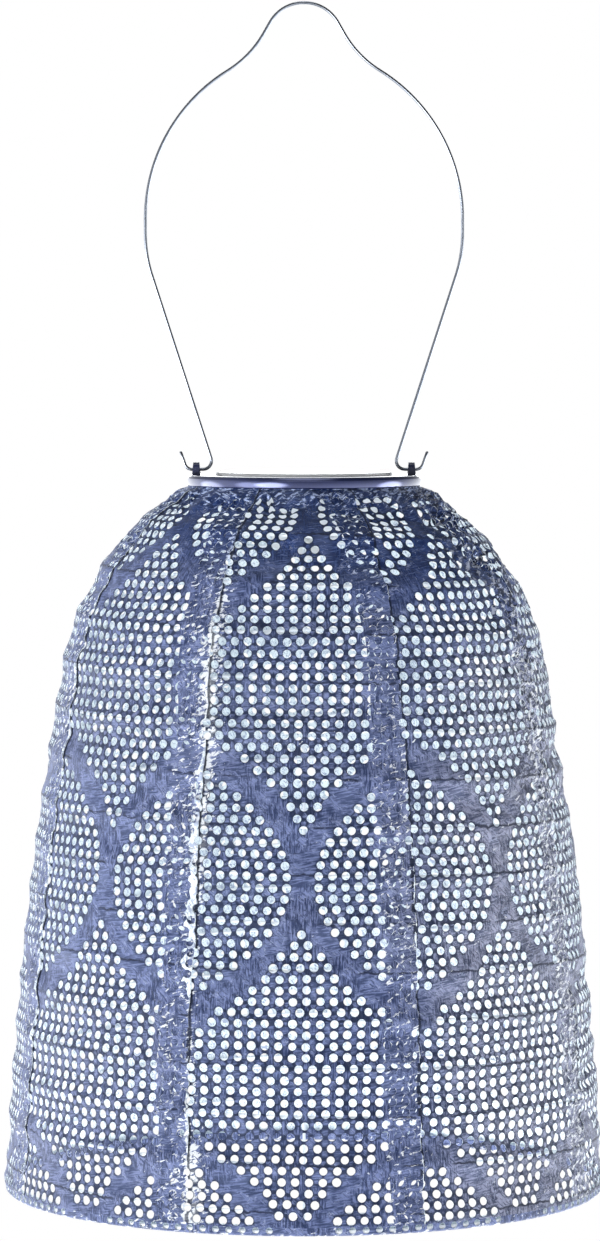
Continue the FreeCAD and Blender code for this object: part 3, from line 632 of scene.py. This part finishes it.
def rounded(corners, bends, step):
    """Points along straight runs joined by arcs of the given radii."""
    corners = [np.array(c, float) for c in corners]
    points = [corners[0]]
    for before, corner, after, radius in zip(corners, corners[1:], corners[2:], bends):
        way_in = (before - corner) / np.linalg.norm(before - corner)
        way_out = (after - corner) / np.linalg.norm(after - corner)
        opening = math.acos(np.clip(way_in @ way_out, -1, 1))
        middle = (way_in + way_out) / np.linalg.norm(way_in + way_out)
        centre = corner + middle * radius / math.sin(opening / 2)
        start = corner + way_in * radius / math.tan(opening / 2)
        end = corner + way_out * radius / math.tan(opening / 2)
        turn = math.pi - opening
        for t in np.linspace(0, turn, max(4, round(turn * radius / step))):
            spoke = (start - centre) * math.sin(turn - t) + (end - centre) * math.sin(t)
            points.append(centre + spoke / math.sin(opening))
    return np.array(points + [corners[-1]])


def evenly(points, step):
    """The same line with points about one step apart on its straight runs too."""
    made = [points[:1]]
    for a, b in zip(points, points[1:]):
        count = max(1, round(np.linalg.norm(b - a) / step))
        made.append(a + (b - a) * (np.arange(1, count + 1) / count)[:, None])
    return np.vstack(made)


def tube(name, points, radius, sides, body):
    """A wire with domed ends along the points."""
    ways = np.gradient(points, axis=0)
    ways /= np.linalg.norm(ways, axis=1)[:, None]
    side = np.cross(ways[0], (0.0, 1.0, 0.0) if abs(ways[0][1]) < 0.8 else (1.0, 0.0, 0.0))
    frames = []
    for way in ways:
        side = side - way * (side @ way)
        side = side / np.linalg.norm(side)
        frames.append((side, np.cross(way, side)))

    def dome(tip, way, pair):
        steps = np.radians([22, 45, 68])
        return [(tip + way * radius * (1 - math.cos(a)), radius * math.sin(a), pair) for a in steps]

    rings = dome(points[0], ways[0], frames[0])
    rings += [(point, radius, pair) for point, pair in zip(points[1:-1], frames[1:-1])]
    rings += dome(points[-1], -ways[-1], frames[-1])[::-1]
    angles = np.arange(sides) * TAU / sides
    cosines, sines = np.cos(angles), np.sin(angles)
    made = [c + r * (np.outer(cosines, a) + np.outer(sines, b)) for c, r, (a, b) in rings]
    made = np.vstack(made + [points[:1], points[-1:]])
    faces = []
    for i in range(len(rings) - 1):
        for j in range(sides):
            k = (j + 1) % sides
            faces.append((i * sides + j, i * sides + k, (i + 1) * sides + k, (i + 1) * sides + j))
    tip, tail = len(rings) * sides, len(rings) * sides + 1
    last = (len(rings) - 1) * sides
    for j in range(sides):
        k = (j + 1) % sides
        faces.append((k, j, tip))
        faces.append((last + j, last + k, tail))
    return new_object(name, made, faces, body)


def make_handle():
    """The bent wire: hook, hip, shoulder, neck and crown at the right, and the same mirrored."""
    pivot = -200.0
    right = [(53.4, 7.8), (50.7, 0), (38.6, 0)]
    right += [(68.4, 92.2), (68.4, 149.0), (22.8, 177.9), (9.8, 200.7)]
    bends = [3.0, 3.6, 60.0, 75.0, 45.0, 16.6]
    corners = [(x, 0, pivot + z) for x, z in right] + [(-x, 0, pivot + z) for x, z in right[::-1]]
    route = evenly(rounded(corners, bends + bends[::-1], 0.8), 4.0)
    handle = tube("handle_loop", route, 0.7, 20, "handle")
    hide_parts("handle_wire")
    return handle


def make_spiral():
    """About fifteen turns, dropping one pitch a turn just inside the cloth."""
    turns = (WIRE_ENDS[0] - WIRE_ENDS[1]) / WIRE_PITCH
    levels = np.linspace(*WIRE_ENDS, round(turns * 110))
    _, r, z, nr, nz = PROFILE
    inner_r, inner_z = r - WIRE_INSET * nr, z - WIRE_INSET * nz
    falling = np.maximum.accumulate(-inner_z)
    reach = np.interp(-levels, falling, inner_r)
    angle = (WIRE_LEVEL - levels) / WIRE_PITCH * TAU
    points = np.column_stack([reach * np.cos(angle), reach * np.sin(angle), levels])
    spiral = tube("spiral_coil", points, WIRE_RADIUS, 10, "lantern_frame")
    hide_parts("spiral_wire")
    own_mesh(spiral)
    return spiral


def make_expander(end, side):
    """A leg bent at both ends, from the clamp ring down to the hoop at the front or the back."""
    corners = [(46.2, -205.6), (43.0, -205.6), (124.4, -506.7), (128.0, -506.7)]
    route = rounded([(0, side * y, z) for y, z in corners], [1.0, 2.0], 0.4)
    leg = tube(f"expander_leg_{end}", evenly(route, 8.0), WIRE_RADIUS, 12, "lantern_frame")
    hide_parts(f"expander_{end}")
    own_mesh(leg)
    return leg


def lathe(name, outline, steps, body):
    """Turns a closed outline of radius and level about Z."""
    angles = np.arange(steps) * TAU / steps
    ring = np.array([[(r * math.cos(a), r * math.sin(a), z) for r, z in outline] for a in angles])
    count = len(outline)
    faces = []
    for i in range(steps):
        for j in range(count):
            a, b = i * count, ((i + 1) % steps) * count
            k = (j + 1) % count
            faces.append((a + j, b + j, b + k, a + k))
    return new_object(name, ring.reshape(-1, 3), faces, body)


def corner_arc(middle, radius, first, last, count=6):
    angles = np.radians(np.linspace(first, last, count))
    return [(middle[0] + radius * math.cos(a), middle[1] + radius * math.sin(a)) for a in angles]


def make_ring():
    """The pressed ring: a crowned outer face, a rolled rim and a lip turned in to a shelf."""
    crown, face_foot, face_top = -204.4, -207.0, -203.6
    face = [(51.0 - (z - crown) ** 2 / 16, z) for z in np.linspace(face_foot + 0.2, face_top, 12)]
    outline = [(50.35, face_foot)] + face
    outline += corner_arc((48.95, -204.2), 2.0, 22, 90)
    outline += corner_arc((40.3, -203.2), 1.0, 90, 180)
    outline += [(39.3, -208.4), (39.1, -208.6), (36.7, -208.6), (36.6, -208.7), (36.6, -209.4)]
    outline += [(36.7, -209.5), (40.1, -209.5), (40.2, -209.4), (40.2, -203.4), (40.4, -203.1)]
    outline += [(48.5, -203.1), (49.5, -203.4), (50.0, -203.9), (50.1, -204.4)]
    outline += [(50.1, face_foot + 0.1), (50.15, face_foot)]
    ring = lathe("rolled_ring", outline, 288, "lantern_frame")
    ring.data.set_sharp_from_angle(angle=math.radians(40))
    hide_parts("top_ring")
    return ring


# ---- materials ------------------------------------------------------------------------------


class Nodes:
    """Adds shader nodes to a tree: sockets and plain numbers are used alike as inputs."""

    def __init__(self, tree):
        self.tree = tree

    def put(self, socket, value):
        if isinstance(value, bpy.types.NodeSocket):
            self.tree.links.new(value, socket)
        elif isinstance(value, tuple) and len(value) == 3 and len(socket.default_value) == 4:
            socket.default_value = (*value, 1.0)
        else:
            socket.default_value = value

    def node(self, kind, inputs=None, **settings):
        node = self.tree.nodes.new("ShaderNode" + kind)
        for key, value in settings.items():
            setattr(node, key, value)
        for key, value in (inputs or {}).items():
            self.put(node.inputs[key], value)
        return node

    def math(self, operation, *values):
        return self.node("Math", dict(enumerate(values)), operation=operation).outputs[0]

    def times(self, first, second):
        return self.math("MULTIPLY", first, second)

    def ramp(self, value, low, high, to_low=0.0, to_high=1.0):
        inputs = {"Value": value, 1: low, 2: high, 3: to_low, 4: to_high}
        return self.node("MapRange", inputs, interpolation_type="SMOOTHSTEP").outputs[0]


class Graph(Nodes):
    """The nodes of a new material."""

    def __init__(self, name):
        self.material = bpy.data.materials.new(name)
        self.material.use_nodes = True
        super().__init__(self.material.node_tree)
        self.shader = self.tree.nodes["Principled BSDF"]

    def cloth(self, across=1.0, down=1.0, turn=0.0):
        """The cloth's own flat map, in units of 100 mm, turned by degrees and then stretched."""
        source = self.node("UVMap", uv_map="cloth").outputs[0]
        turned = {"Vector": source, "Rotation": (0.0, 0.0, math.radians(turn))}
        turned = self.node("Mapping", turned).outputs[0]
        return self.node("Mapping", {"Vector": turned, "Scale": (across, down, 1.0)}).outputs[0]

    def solid(self, scale=1.0):
        source = self.node("TexCoord").outputs["Object"]
        return self.node("Mapping", {"Vector": source, "Scale": (scale, scale, scale)}).outputs[0]

    def noise(self, vector, scale, detail=3.0, roughness=0.55, swirl=0.0):
        inputs = {"Vector": vector, "Scale": scale, "Detail": detail, "Roughness": roughness}
        inputs["Distortion"] = swirl
        return self.node("TexNoise", inputs).outputs["Fac"]

    def line(self, value, width):
        """1 where a noise value crosses its middle, falling to 0 within that much of it."""
        return self.ramp(self.math("ABSOLUTE", self.math("SUBTRACT", value, 0.5)), width, 0.0)

    def point_value(self, name):
        return self.node("Attribute", attribute_name=name).outputs["Fac"]

    def mix(self, factor, first, second):
        node = self.tree.nodes.new("ShaderNodeMix")
        node.data_type = "RGBA"
        self.put(node.inputs[0], factor)
        self.put(node.inputs[6], first)
        self.put(node.inputs[7], second)
        return node.outputs[2]

    def bump(self, height, strength, distance):
        inputs = {"Height": height, "Strength": strength, "Distance": distance}
        self.put(self.shader.inputs["Normal"], self.node("Bump", inputs).outputs[0])

    def finish(self, **values):
        for key, value in values.items():
            self.put(self.shader.inputs[key.replace("_", " ")], value)
        return self.material


def shade_outside():
    """Navy print on fibrous non-woven cloth, with painted shade in its creases, painted highlights on
    its crinkles, and white where it has worn.
    """
    g = Graph("shade_navy")
    wear, rim, seam = g.point_value("wear"), g.point_value("rim"), g.point_value("seam")
    turn = g.point_value("turn")
    clouds = g.noise(g.cloth(), 5.0, 3.0, 0.5)
    blotches = g.noise(g.cloth(), 17.0, 3.0, 0.6)
    specks = g.noise(g.cloth(30, 62, 20), 1.0, 4.0, 0.65, 0.6)

    # Fibres: strokes that run up, across and askew, each in its own patches.
    upright = g.noise(g.cloth(150, 17), 1.0, 4.0, 0.64, 0.15)
    level = g.noise(g.cloth(16, 135, 8), 1.0, 4.0, 0.64, 0.15)
    askew = g.noise(g.cloth(125, 19, 48), 1.0, 4.0, 0.64, 0.15)
    strokes = g.mix(g.ramp(clouds, 0.46, 0.54), upright, level)
    strokes = g.mix(g.ramp(blotches, 0.52, 0.60), strokes, askew)
    tone = g.math("MULTIPLY_ADD", strokes, 0.7, g.times(blotches, 0.3))
    tone = g.ramp(tone, 0.43, 0.58)
    # Painted shade: the darker colours go on the dome near the ring and on the low front.
    fade = g.point_value("fade")
    dome, bleach = g.ramp(fade, 1.0, 0.1), g.ramp(fade, 1.0, 2.0)
    shaded_dome = g.mix(tone, (0.004, 0.015, 0.072), (0.026, 0.053, 0.180))
    faded = g.mix(tone, (0.024, 0.036, 0.094), (0.148, 0.180, 0.338))
    bleached = g.mix(tone, (0.040, 0.048, 0.090), (0.290, 0.300, 0.405))
    base = g.mix(dome, faded, shaded_dome)
    base = g.mix(bleach, base, bleached)
    base = g.mix(g.ramp(clouds, 0.45, 0.75, 0.0, 0.35), base, (0.132, 0.162, 0.292))
    # Painted highlights: pale streaks over the crumples of the dome.
    dome_painted_highlights = g.times(g.ramp(level, 0.57, 0.63), dome)
    base = g.mix(g.times(dome_painted_highlights, 0.6), base, (0.15, 0.20, 0.40))

    # Fine crinkles: a painted highlight on their tops and painted shade in their bottoms.
    crinkles = g.noise(g.cloth(15, 30, -12), 1.0, 3.0, 0.6, 0.8)
    pale = g.math("MAXIMUM", g.ramp(blotches, 0.48, 0.62), g.times(bleach, 0.9))
    pale = g.times(g.line(crinkles, 0.022), pale)
    base = g.mix(g.times(pale, 0.6), base, (0.36, 0.41, 0.58))
    hollows = g.noise(g.cloth(34, 15, 30), 1.0, 3.0, 0.6, 0.8)
    dark = g.math("MAXIMUM", g.ramp(clouds, 0.58, 0.44), g.times(bleach, 0.9))
    dark = g.times(g.line(hollows, 0.022), dark)
    base = g.mix(g.times(dark, 0.75), base, (0.006, 0.010, 0.034))

    # Where the cloth is crushed: painted shade in hard dark dashes and painted glints on bright
    # ridges.
    crush = g.point_value("crush")
    crush_painted_shade = g.ramp(g.noise(g.cloth(15, 32, -10), 1.0, 3.0, 0.6, 0.6), 0.49, 0.45)
    base = g.mix(g.times(crush_painted_shade, g.times(crush, 0.9)), base, (0.003, 0.005, 0.016))
    crush_painted_glints = g.ramp(g.noise(g.cloth(20, 40, 24), 1.0, 3.0, 0.6, 0.8), 0.56, 0.60)
    base = g.mix(g.times(crush_painted_glints, g.times(crush, 0.75)), base, (0.50, 0.53, 0.62))

    # The creases along the wire's turns, broken and a little out of line: painted shade where the
    # cloth folds over the wire.
    height = g.times(g.math("SUBTRACT", turn, g.math("ROUND", turn)), WIRE_PITCH)
    height = g.math("MULTIPLY_ADD", g.math("SUBTRACT", blotches, 0.5), 4.0, height)
    crease = g.ramp(g.math("ABSOLUTE", height), 0.75, 0.20)
    patches = g.math("MULTIPLY_ADD", bleach, 0.12, clouds)
    crease = g.times(crease, g.ramp(patches, 0.45, 0.57))
    crease = g.times(crease, g.math("MAXIMUM", g.ramp(level, 0.38, 0.50), bleach))
    base = g.mix(g.times(crease, 0.9), base, (0.004, 0.006, 0.020))

    # White where the print has come off, and a painted shadow along the seams and painted shade round
    # the holes.
    worn = g.math("MULTIPLY_ADD", wear, 0.24, g.math("MULTIPLY_ADD", bleach, 0.06, specks))
    worn = g.ramp(worn, 0.70, 0.75)
    base = g.mix(worn, base, g.mix(dome, (0.64, 0.66, 0.69), (0.46, 0.55, 0.80)))
    # Painted shadow beside each seam, where the turned edge stands over the cloth.
    seam_painted_shadow = g.math("MULTIPLY_ADD", g.math("SUBTRACT", specks, 0.5), 2.5, seam)
    seam_painted_shadow = g.times(g.ramp(seam_painted_shadow, 1.5, 0.9), g.ramp(seam, -1.0, -0.4))
    seam_painted_shadow = g.times(seam_painted_shadow, g.ramp(wear, 1.6, 1.1))
    base = g.mix(g.times(seam_painted_shadow, 0.9), base, (0.004, 0.006, 0.018))
    # Painted shade at the rims of the holes.
    base = g.mix(g.ramp(rim, 0.40, 0.95, 0.0, 0.85), base, (0.008, 0.013, 0.036))

    relief = g.math("MULTIPLY_ADD", strokes, 0.8, g.times(specks, 0.4))
    relief = g.math("SUBTRACT", g.math("MULTIPLY_ADD", pale, 0.3, relief), g.times(dark, 0.4))
    g.bump(g.math("SUBTRACT", relief, g.times(crease, 0.6)), 0.7, 0.0004)
    return g.finish(
        Base_Color=base,
        Roughness=g.ramp(tone, 0.0, 1.0, 0.42, 0.60),
        Specular_IOR_Level=0.22,
        Specular_Tint=(0.72, 0.82, 1.0),
        Sheen_Weight=0.08,
        Sheen_Roughness=0.45,
        Sheen_Tint=(0.70, 0.78, 0.98),
    )


def shade_inside():
    """The cloth's unprinted side: pale and fibrous, with the print showing through where worn."""
    g = Graph("shade_lining")
    fibres = g.noise(g.cloth(46, 9), 1.0, 4.0, 0.6, 0.5)
    blotches = g.noise(g.cloth(), 12.0, 3.0, 0.6)
    specks = g.noise(g.cloth(42, 30, 20), 1.0, 4.0, 0.65, 0.6)
    base = g.mix(g.ramp(fibres, 0.35, 0.65), (0.70, 0.77, 0.80), (0.82, 0.88, 0.90))
    base = g.mix(g.ramp(blotches, 0.55, 0.75, 0.0, 0.4), base, (0.68, 0.76, 0.82))
    strands = g.noise(g.cloth(52, 24, -25), 1.0, 3.0, 0.6, 0.8)
    base = g.mix(g.times(g.line(strands, 0.030), 0.85), base, (0.08, 0.13, 0.30))
    stained = g.ramp(g.math("MULTIPLY_ADD", g.point_value("wear"), 0.10, specks), 0.58, 0.66)
    base = g.mix(stained, base, (0.36, 0.41, 0.54))
    g.bump(fibres, 0.5, 0.0003)
    return g.finish(Base_Color=base, Roughness=0.75, Specular_IOR_Level=0.3, Sheen_Weight=0.1)


def finish_with(name, color, second, roughness, metallic=0.0, grain=900.0, bump=0.1, **more):
    """A moulded, painted or metal finish with fine mottling, uneven gloss and a faint texture."""
    g = Graph(name)
    fine = g.noise(g.solid(), grain, 4.0, 0.6)
    broad = g.noise(g.solid(), 45.0, 3.0, 0.5)
    tone = g.math("ADD", g.times(fine, 0.5), g.times(broad, 0.5))
    g.bump(fine, bump, 0.0002)
    spread = roughness * 0.25
    return g.finish(
        Base_Color=g.mix(g.ramp(tone, 0.38, 0.62), color, second),
        Roughness=g.ramp(broad, 0.35, 0.65, roughness - spread, roughness + spread),
        Metallic=metallic,
        **more,
    )


def solar_cells():
    """Dark blue silicon with silver fingers every 1.9 mm, bars 13 mm apart and a middle gap."""
    g = Graph("solar_cell_face")
    place = g.node("SeparateXYZ", {"Vector": g.solid(1000.0)})
    crystals = g.node("TexVoronoi", {"Vector": g.solid(), "Scale": 260.0}).outputs["Color"]
    grey = g.node("SeparateColor", {"Color": crystals}).outputs[0]
    base = g.mix(grey, (0.006, 0.010, 0.045), (0.016, 0.028, 0.110))
    fingers = g.math("LESS_THAN", g.math("PINGPONG", place.outputs[1], 0.95), 0.07)
    from_bar = g.math("SUBTRACT", g.math("PINGPONG", place.outputs[0], 13.0), 6.5)
    bars = g.math("LESS_THAN", g.math("ABSOLUTE", from_bar), 0.35)
    gaps = g.math("LESS_THAN", g.math("PINGPONG", place.outputs[0], 9.75), 0.18)
    base = g.mix(g.math("MAXIMUM", fingers, bars), base, (0.45, 0.47, 0.50))
    base = g.mix(gaps, base, (0.55, 0.56, 0.58))
    return g.finish(Base_Color=base, Roughness=0.28, Coat_Weight=0.6, Coat_Roughness=0.08)


def circuit_green():
    g = Graph("board_face")
    cells = g.node("TexVoronoi", {"Vector": g.solid(), "Scale": 320.0}, feature="DISTANCE_TO_EDGE")
    traces = g.ramp(cells.outputs["Distance"], 0.10, 0.04)
    base = g.mix(traces, (0.010, 0.070, 0.030), (0.030, 0.160, 0.070))
    g.bump(traces, 0.3, 0.0001)
    return g.finish(Base_Color=base, Roughness=0.35, Coat_Weight=0.3)


def clear_window():
    g = Graph("window_face")
    haze = g.noise(g.solid(), 220.0, 3.0, 0.6)
    g.bump(haze, 0.04, 0.0002)
    rough = g.ramp(haze, 0.4, 0.7, 0.03, 0.12)
    return g.finish(Base_Color=(0.95, 0.97, 1.0), Roughness=rough, Transmission_Weight=1.0, IOR=1.49)


def frosted_lens():
    g = Graph("lens_face")
    frost = g.noise(g.solid(), 1400.0, 3.0, 0.6)
    g.bump(frost, 0.25, 0.0002)
    base = g.mix(frost, (0.86, 0.88, 0.90), (0.97, 0.97, 0.96))
    return g.finish(Base_Color=base, Roughness=0.42, Transmission_Weight=0.75, IOR=1.49)


def dress(obj, *materials):
    for i, material in enumerate(materials):
        if i < len(obj.material_slots):
            obj.data.materials[i] = material
        else:
            obj.data.materials.append(material)


def dress_everything(handle, ring, spiral, legs, cloths):
    navy, pale = shade_outside(), shade_inside()
    for cloth in cloths:
        dress(cloth, navy, pale)
    steel = finish_with("handle_face", (0.30, 0.32, 0.36), (0.20, 0.22, 0.26), 0.20, 1.0, bump=0.05)
    coated = finish_with("spring_face", (0.84, 0.86, 0.88), (0.74, 0.76, 0.80), 0.38)
    zinc = finish_with("zinc_face", (0.62, 0.63, 0.65), (0.44, 0.46, 0.49), 0.34, 1.0)
    gloss = dict(bump=0.02, Coat_Weight=1.0, Coat_Roughness=0.06)
    paint = finish_with("ring_face", (0.016, 0.026, 0.112), (0.011, 0.019, 0.084), 0.15, 0.6, **gloss)
    black_navy = finish_with("ear_face", (0.013, 0.018, 0.056), (0.020, 0.026, 0.078), 0.42)
    milky = dict(Subsurface_Weight=1.0, Subsurface_Radius=(1.0, 1.0, 1.0), Subsurface_Scale=0.005)
    shell = finish_with("cap_face", (0.88, 0.89, 0.90), (0.92, 0.93, 0.94), 0.16, bump=0.03, **milky)
    rubber = finish_with("seal_face", (0.020, 0.020, 0.022), (0.035, 0.035, 0.037), 0.75)
    greens = (0.020, 0.160, 0.090), (0.030, 0.210, 0.120)
    wrap = finish_with("battery_face", *greens, 0.30, Coat_Weight=0.4)
    resin = finish_with("led_face", (0.88, 0.84, 0.62), (0.93, 0.90, 0.72), 0.12, bump=0.02)
    black = finish_with("switch_face", (0.018, 0.018, 0.020), (0.030, 0.030, 0.033), 0.45)
    window, frost, cells, board = clear_window(), frosted_lens(), solar_cells(), circuit_green()
    dress(handle, steel)
    dress(ring, paint)
    for wire in [spiral, *legs]:
        dress(wire, coated)
    finishes = {
        zinc: ["ear_rivets", "clamp_ring", "housing_screws", "battery_contacts"],
        coated: ["hem_hoop"],
        black_navy: ["ear_right", "ear_left"],
        shell: ["cap_housing", "base_housing", "battery_door"],
        rubber: ["housing_seal"],
        wrap: ["battery"],
        resin: ["led"],
        black: ["switch_body", "switch_slider"],
        window: ["solar_window"],
        frost: ["light_lens"],
        cells: ["solar_cell"],
        board: ["circuit_board"],
    }
    for material, nodes in finishes.items():
        for node in nodes:
            dress(NODES[node], material)


# ---- floor, light and camera ----------------------------------------------------------------

FLOOR_LEVEL = -6.5
FLOOR_RADIUS = 20.0
CAMERA_PLACE = (-0.0017, -2.27, -0.137)
CAMERA_DIP = 3.24
CAMERA_LENS = 152.3


def make_floor():
    """A wide pale disc far below, seen only by the camera, so the room's light isn't blocked."""
    angles = np.arange(96) * TAU / 96
    rim = [(FLOOR_RADIUS * math.cos(a), FLOOR_RADIUS * math.sin(a), FLOOR_LEVEL) for a in angles]
    mesh = bpy.data.meshes.new("floor")
    mesh.from_pydata(rim, [], [tuple(range(96))])
    floor = bpy.data.objects.new("floor", mesh)
    bpy.context.scene.collection.objects.link(floor)
    for ray in ("diffuse", "glossy", "transmission", "shadow"):
        setattr(floor, f"visible_{ray}", False)
    g = Graph("floor_face")
    mottle = g.noise(g.solid(), 3.0, 4.0, 0.6)
    base = g.mix(mottle, (0.86, 0.87, 0.88), (0.90, 0.90, 0.91))
    dress(floor, g.finish(Base_Color=base, Roughness=0.9, Emission_Color=base, Emission_Strength=0.85))


# Where the light changes from its strength below to its strength above, and those strengths:
# over the whole room, and near the floor, where it is dimmed.
LIGHT_BY_HEIGHT = (-0.6, 0.42, 2.6, 0.22)
LIGHT_UNDERFOOT = (-0.95, -0.70, 0.45, 1.0)

# Soft boxes as (direction, strength): two low at the left of the front, one at the right, one at
# the left, one behind and one overhead. Each fades out between these cosines of its direction.
SOFT_BOX_EDGE = (0.945, 0.99)
SOFT_BOXES = (
    ((-0.53, -0.803, -0.27), 10.5),
    ((-0.79, -0.55, -0.27), 4.0),
    ((0.957, 0.106, -0.27), 7.0),
    ((-0.92, 0.28, -0.27), 5.0),
    ((0.0, 0.985, 0.17), 2.5),
    ((0.0, 0.0, 1.0), 3.5),
)


def make_world():
    """Soft studio light, brightest low down, behind and at the left, with a few soft boxes."""
    world = bpy.data.worlds.new("studio")
    bpy.context.scene.world = world
    world.use_nodes = True
    g = Nodes(world.node_tree)
    g.tree.nodes.clear()
    direction = g.node("TexCoord").outputs["Generated"]
    x, y, z = g.node("SeparateXYZ", {0: direction}).outputs
    strength = g.ramp(z, *LIGHT_BY_HEIGHT)
    sideways, crossed = g.times(x, x), g.times(x, z)

    # It grows towards the back, the left, both sides, and the lower right and upper left.
    changes = ((y, 0.30, 1.0), (x, -0.26, 1.0), (sideways, 0.5, 0.85), (crossed, -1.2, 1.0))
    for term, slope, rest in changes:
        strength = g.times(strength, g.math("MULTIPLY_ADD", term, slope, rest))
    strength = g.times(strength, g.ramp(z, *LIGHT_UNDERFOOT))
    for place, power in SOFT_BOXES:
        towards = g.node("VectorMath", {0: direction, 1: place}, operation="DOT_PRODUCT")
        box = g.ramp(towards.outputs["Value"], *SOFT_BOX_EDGE, 0.0, power)
        strength = g.math("ADD", strength, box)
    light = g.node("Background", {"Color": (0.96, 0.98, 1.0), "Strength": strength})
    seen = g.node("Background", {"Color": (1.0, 1.0, 1.0)})
    to_camera = g.node("LightPath").outputs["Is Camera Ray"]
    choice = g.node("MixShader", {0: to_camera, 1: light.outputs[0], 2: seen.outputs[0]})
    g.node("OutputWorld", {0: choice.outputs[0]})


def make_camera():
    camera = bpy.data.cameras.new("camera")
    camera.lens = CAMERA_LENS
    camera.sensor_width = 36.0
    camera.clip_end = 100.0
    obj = bpy.data.objects.new("camera", camera)
    obj.location = CAMERA_PLACE
    obj.rotation_euler = (math.radians(90 - CAMERA_DIP), 0, 0)
    bpy.context.scene.collection.objects.link(obj)
    bpy.context.scene.camera = obj


scene = bpy.context.scene
scene.view_settings.view_transform = "Standard"
make_camera()
make_world()
make_floor()
spiral = make_spiral()
legs = [make_expander("front", -1), make_expander("back", 1)]
cloths = [make_gore(number) for number in range(1, GORES + 1)]
cloths.append(make_hem())
dress_everything(make_handle(), make_ring(), spiral, legs, cloths)
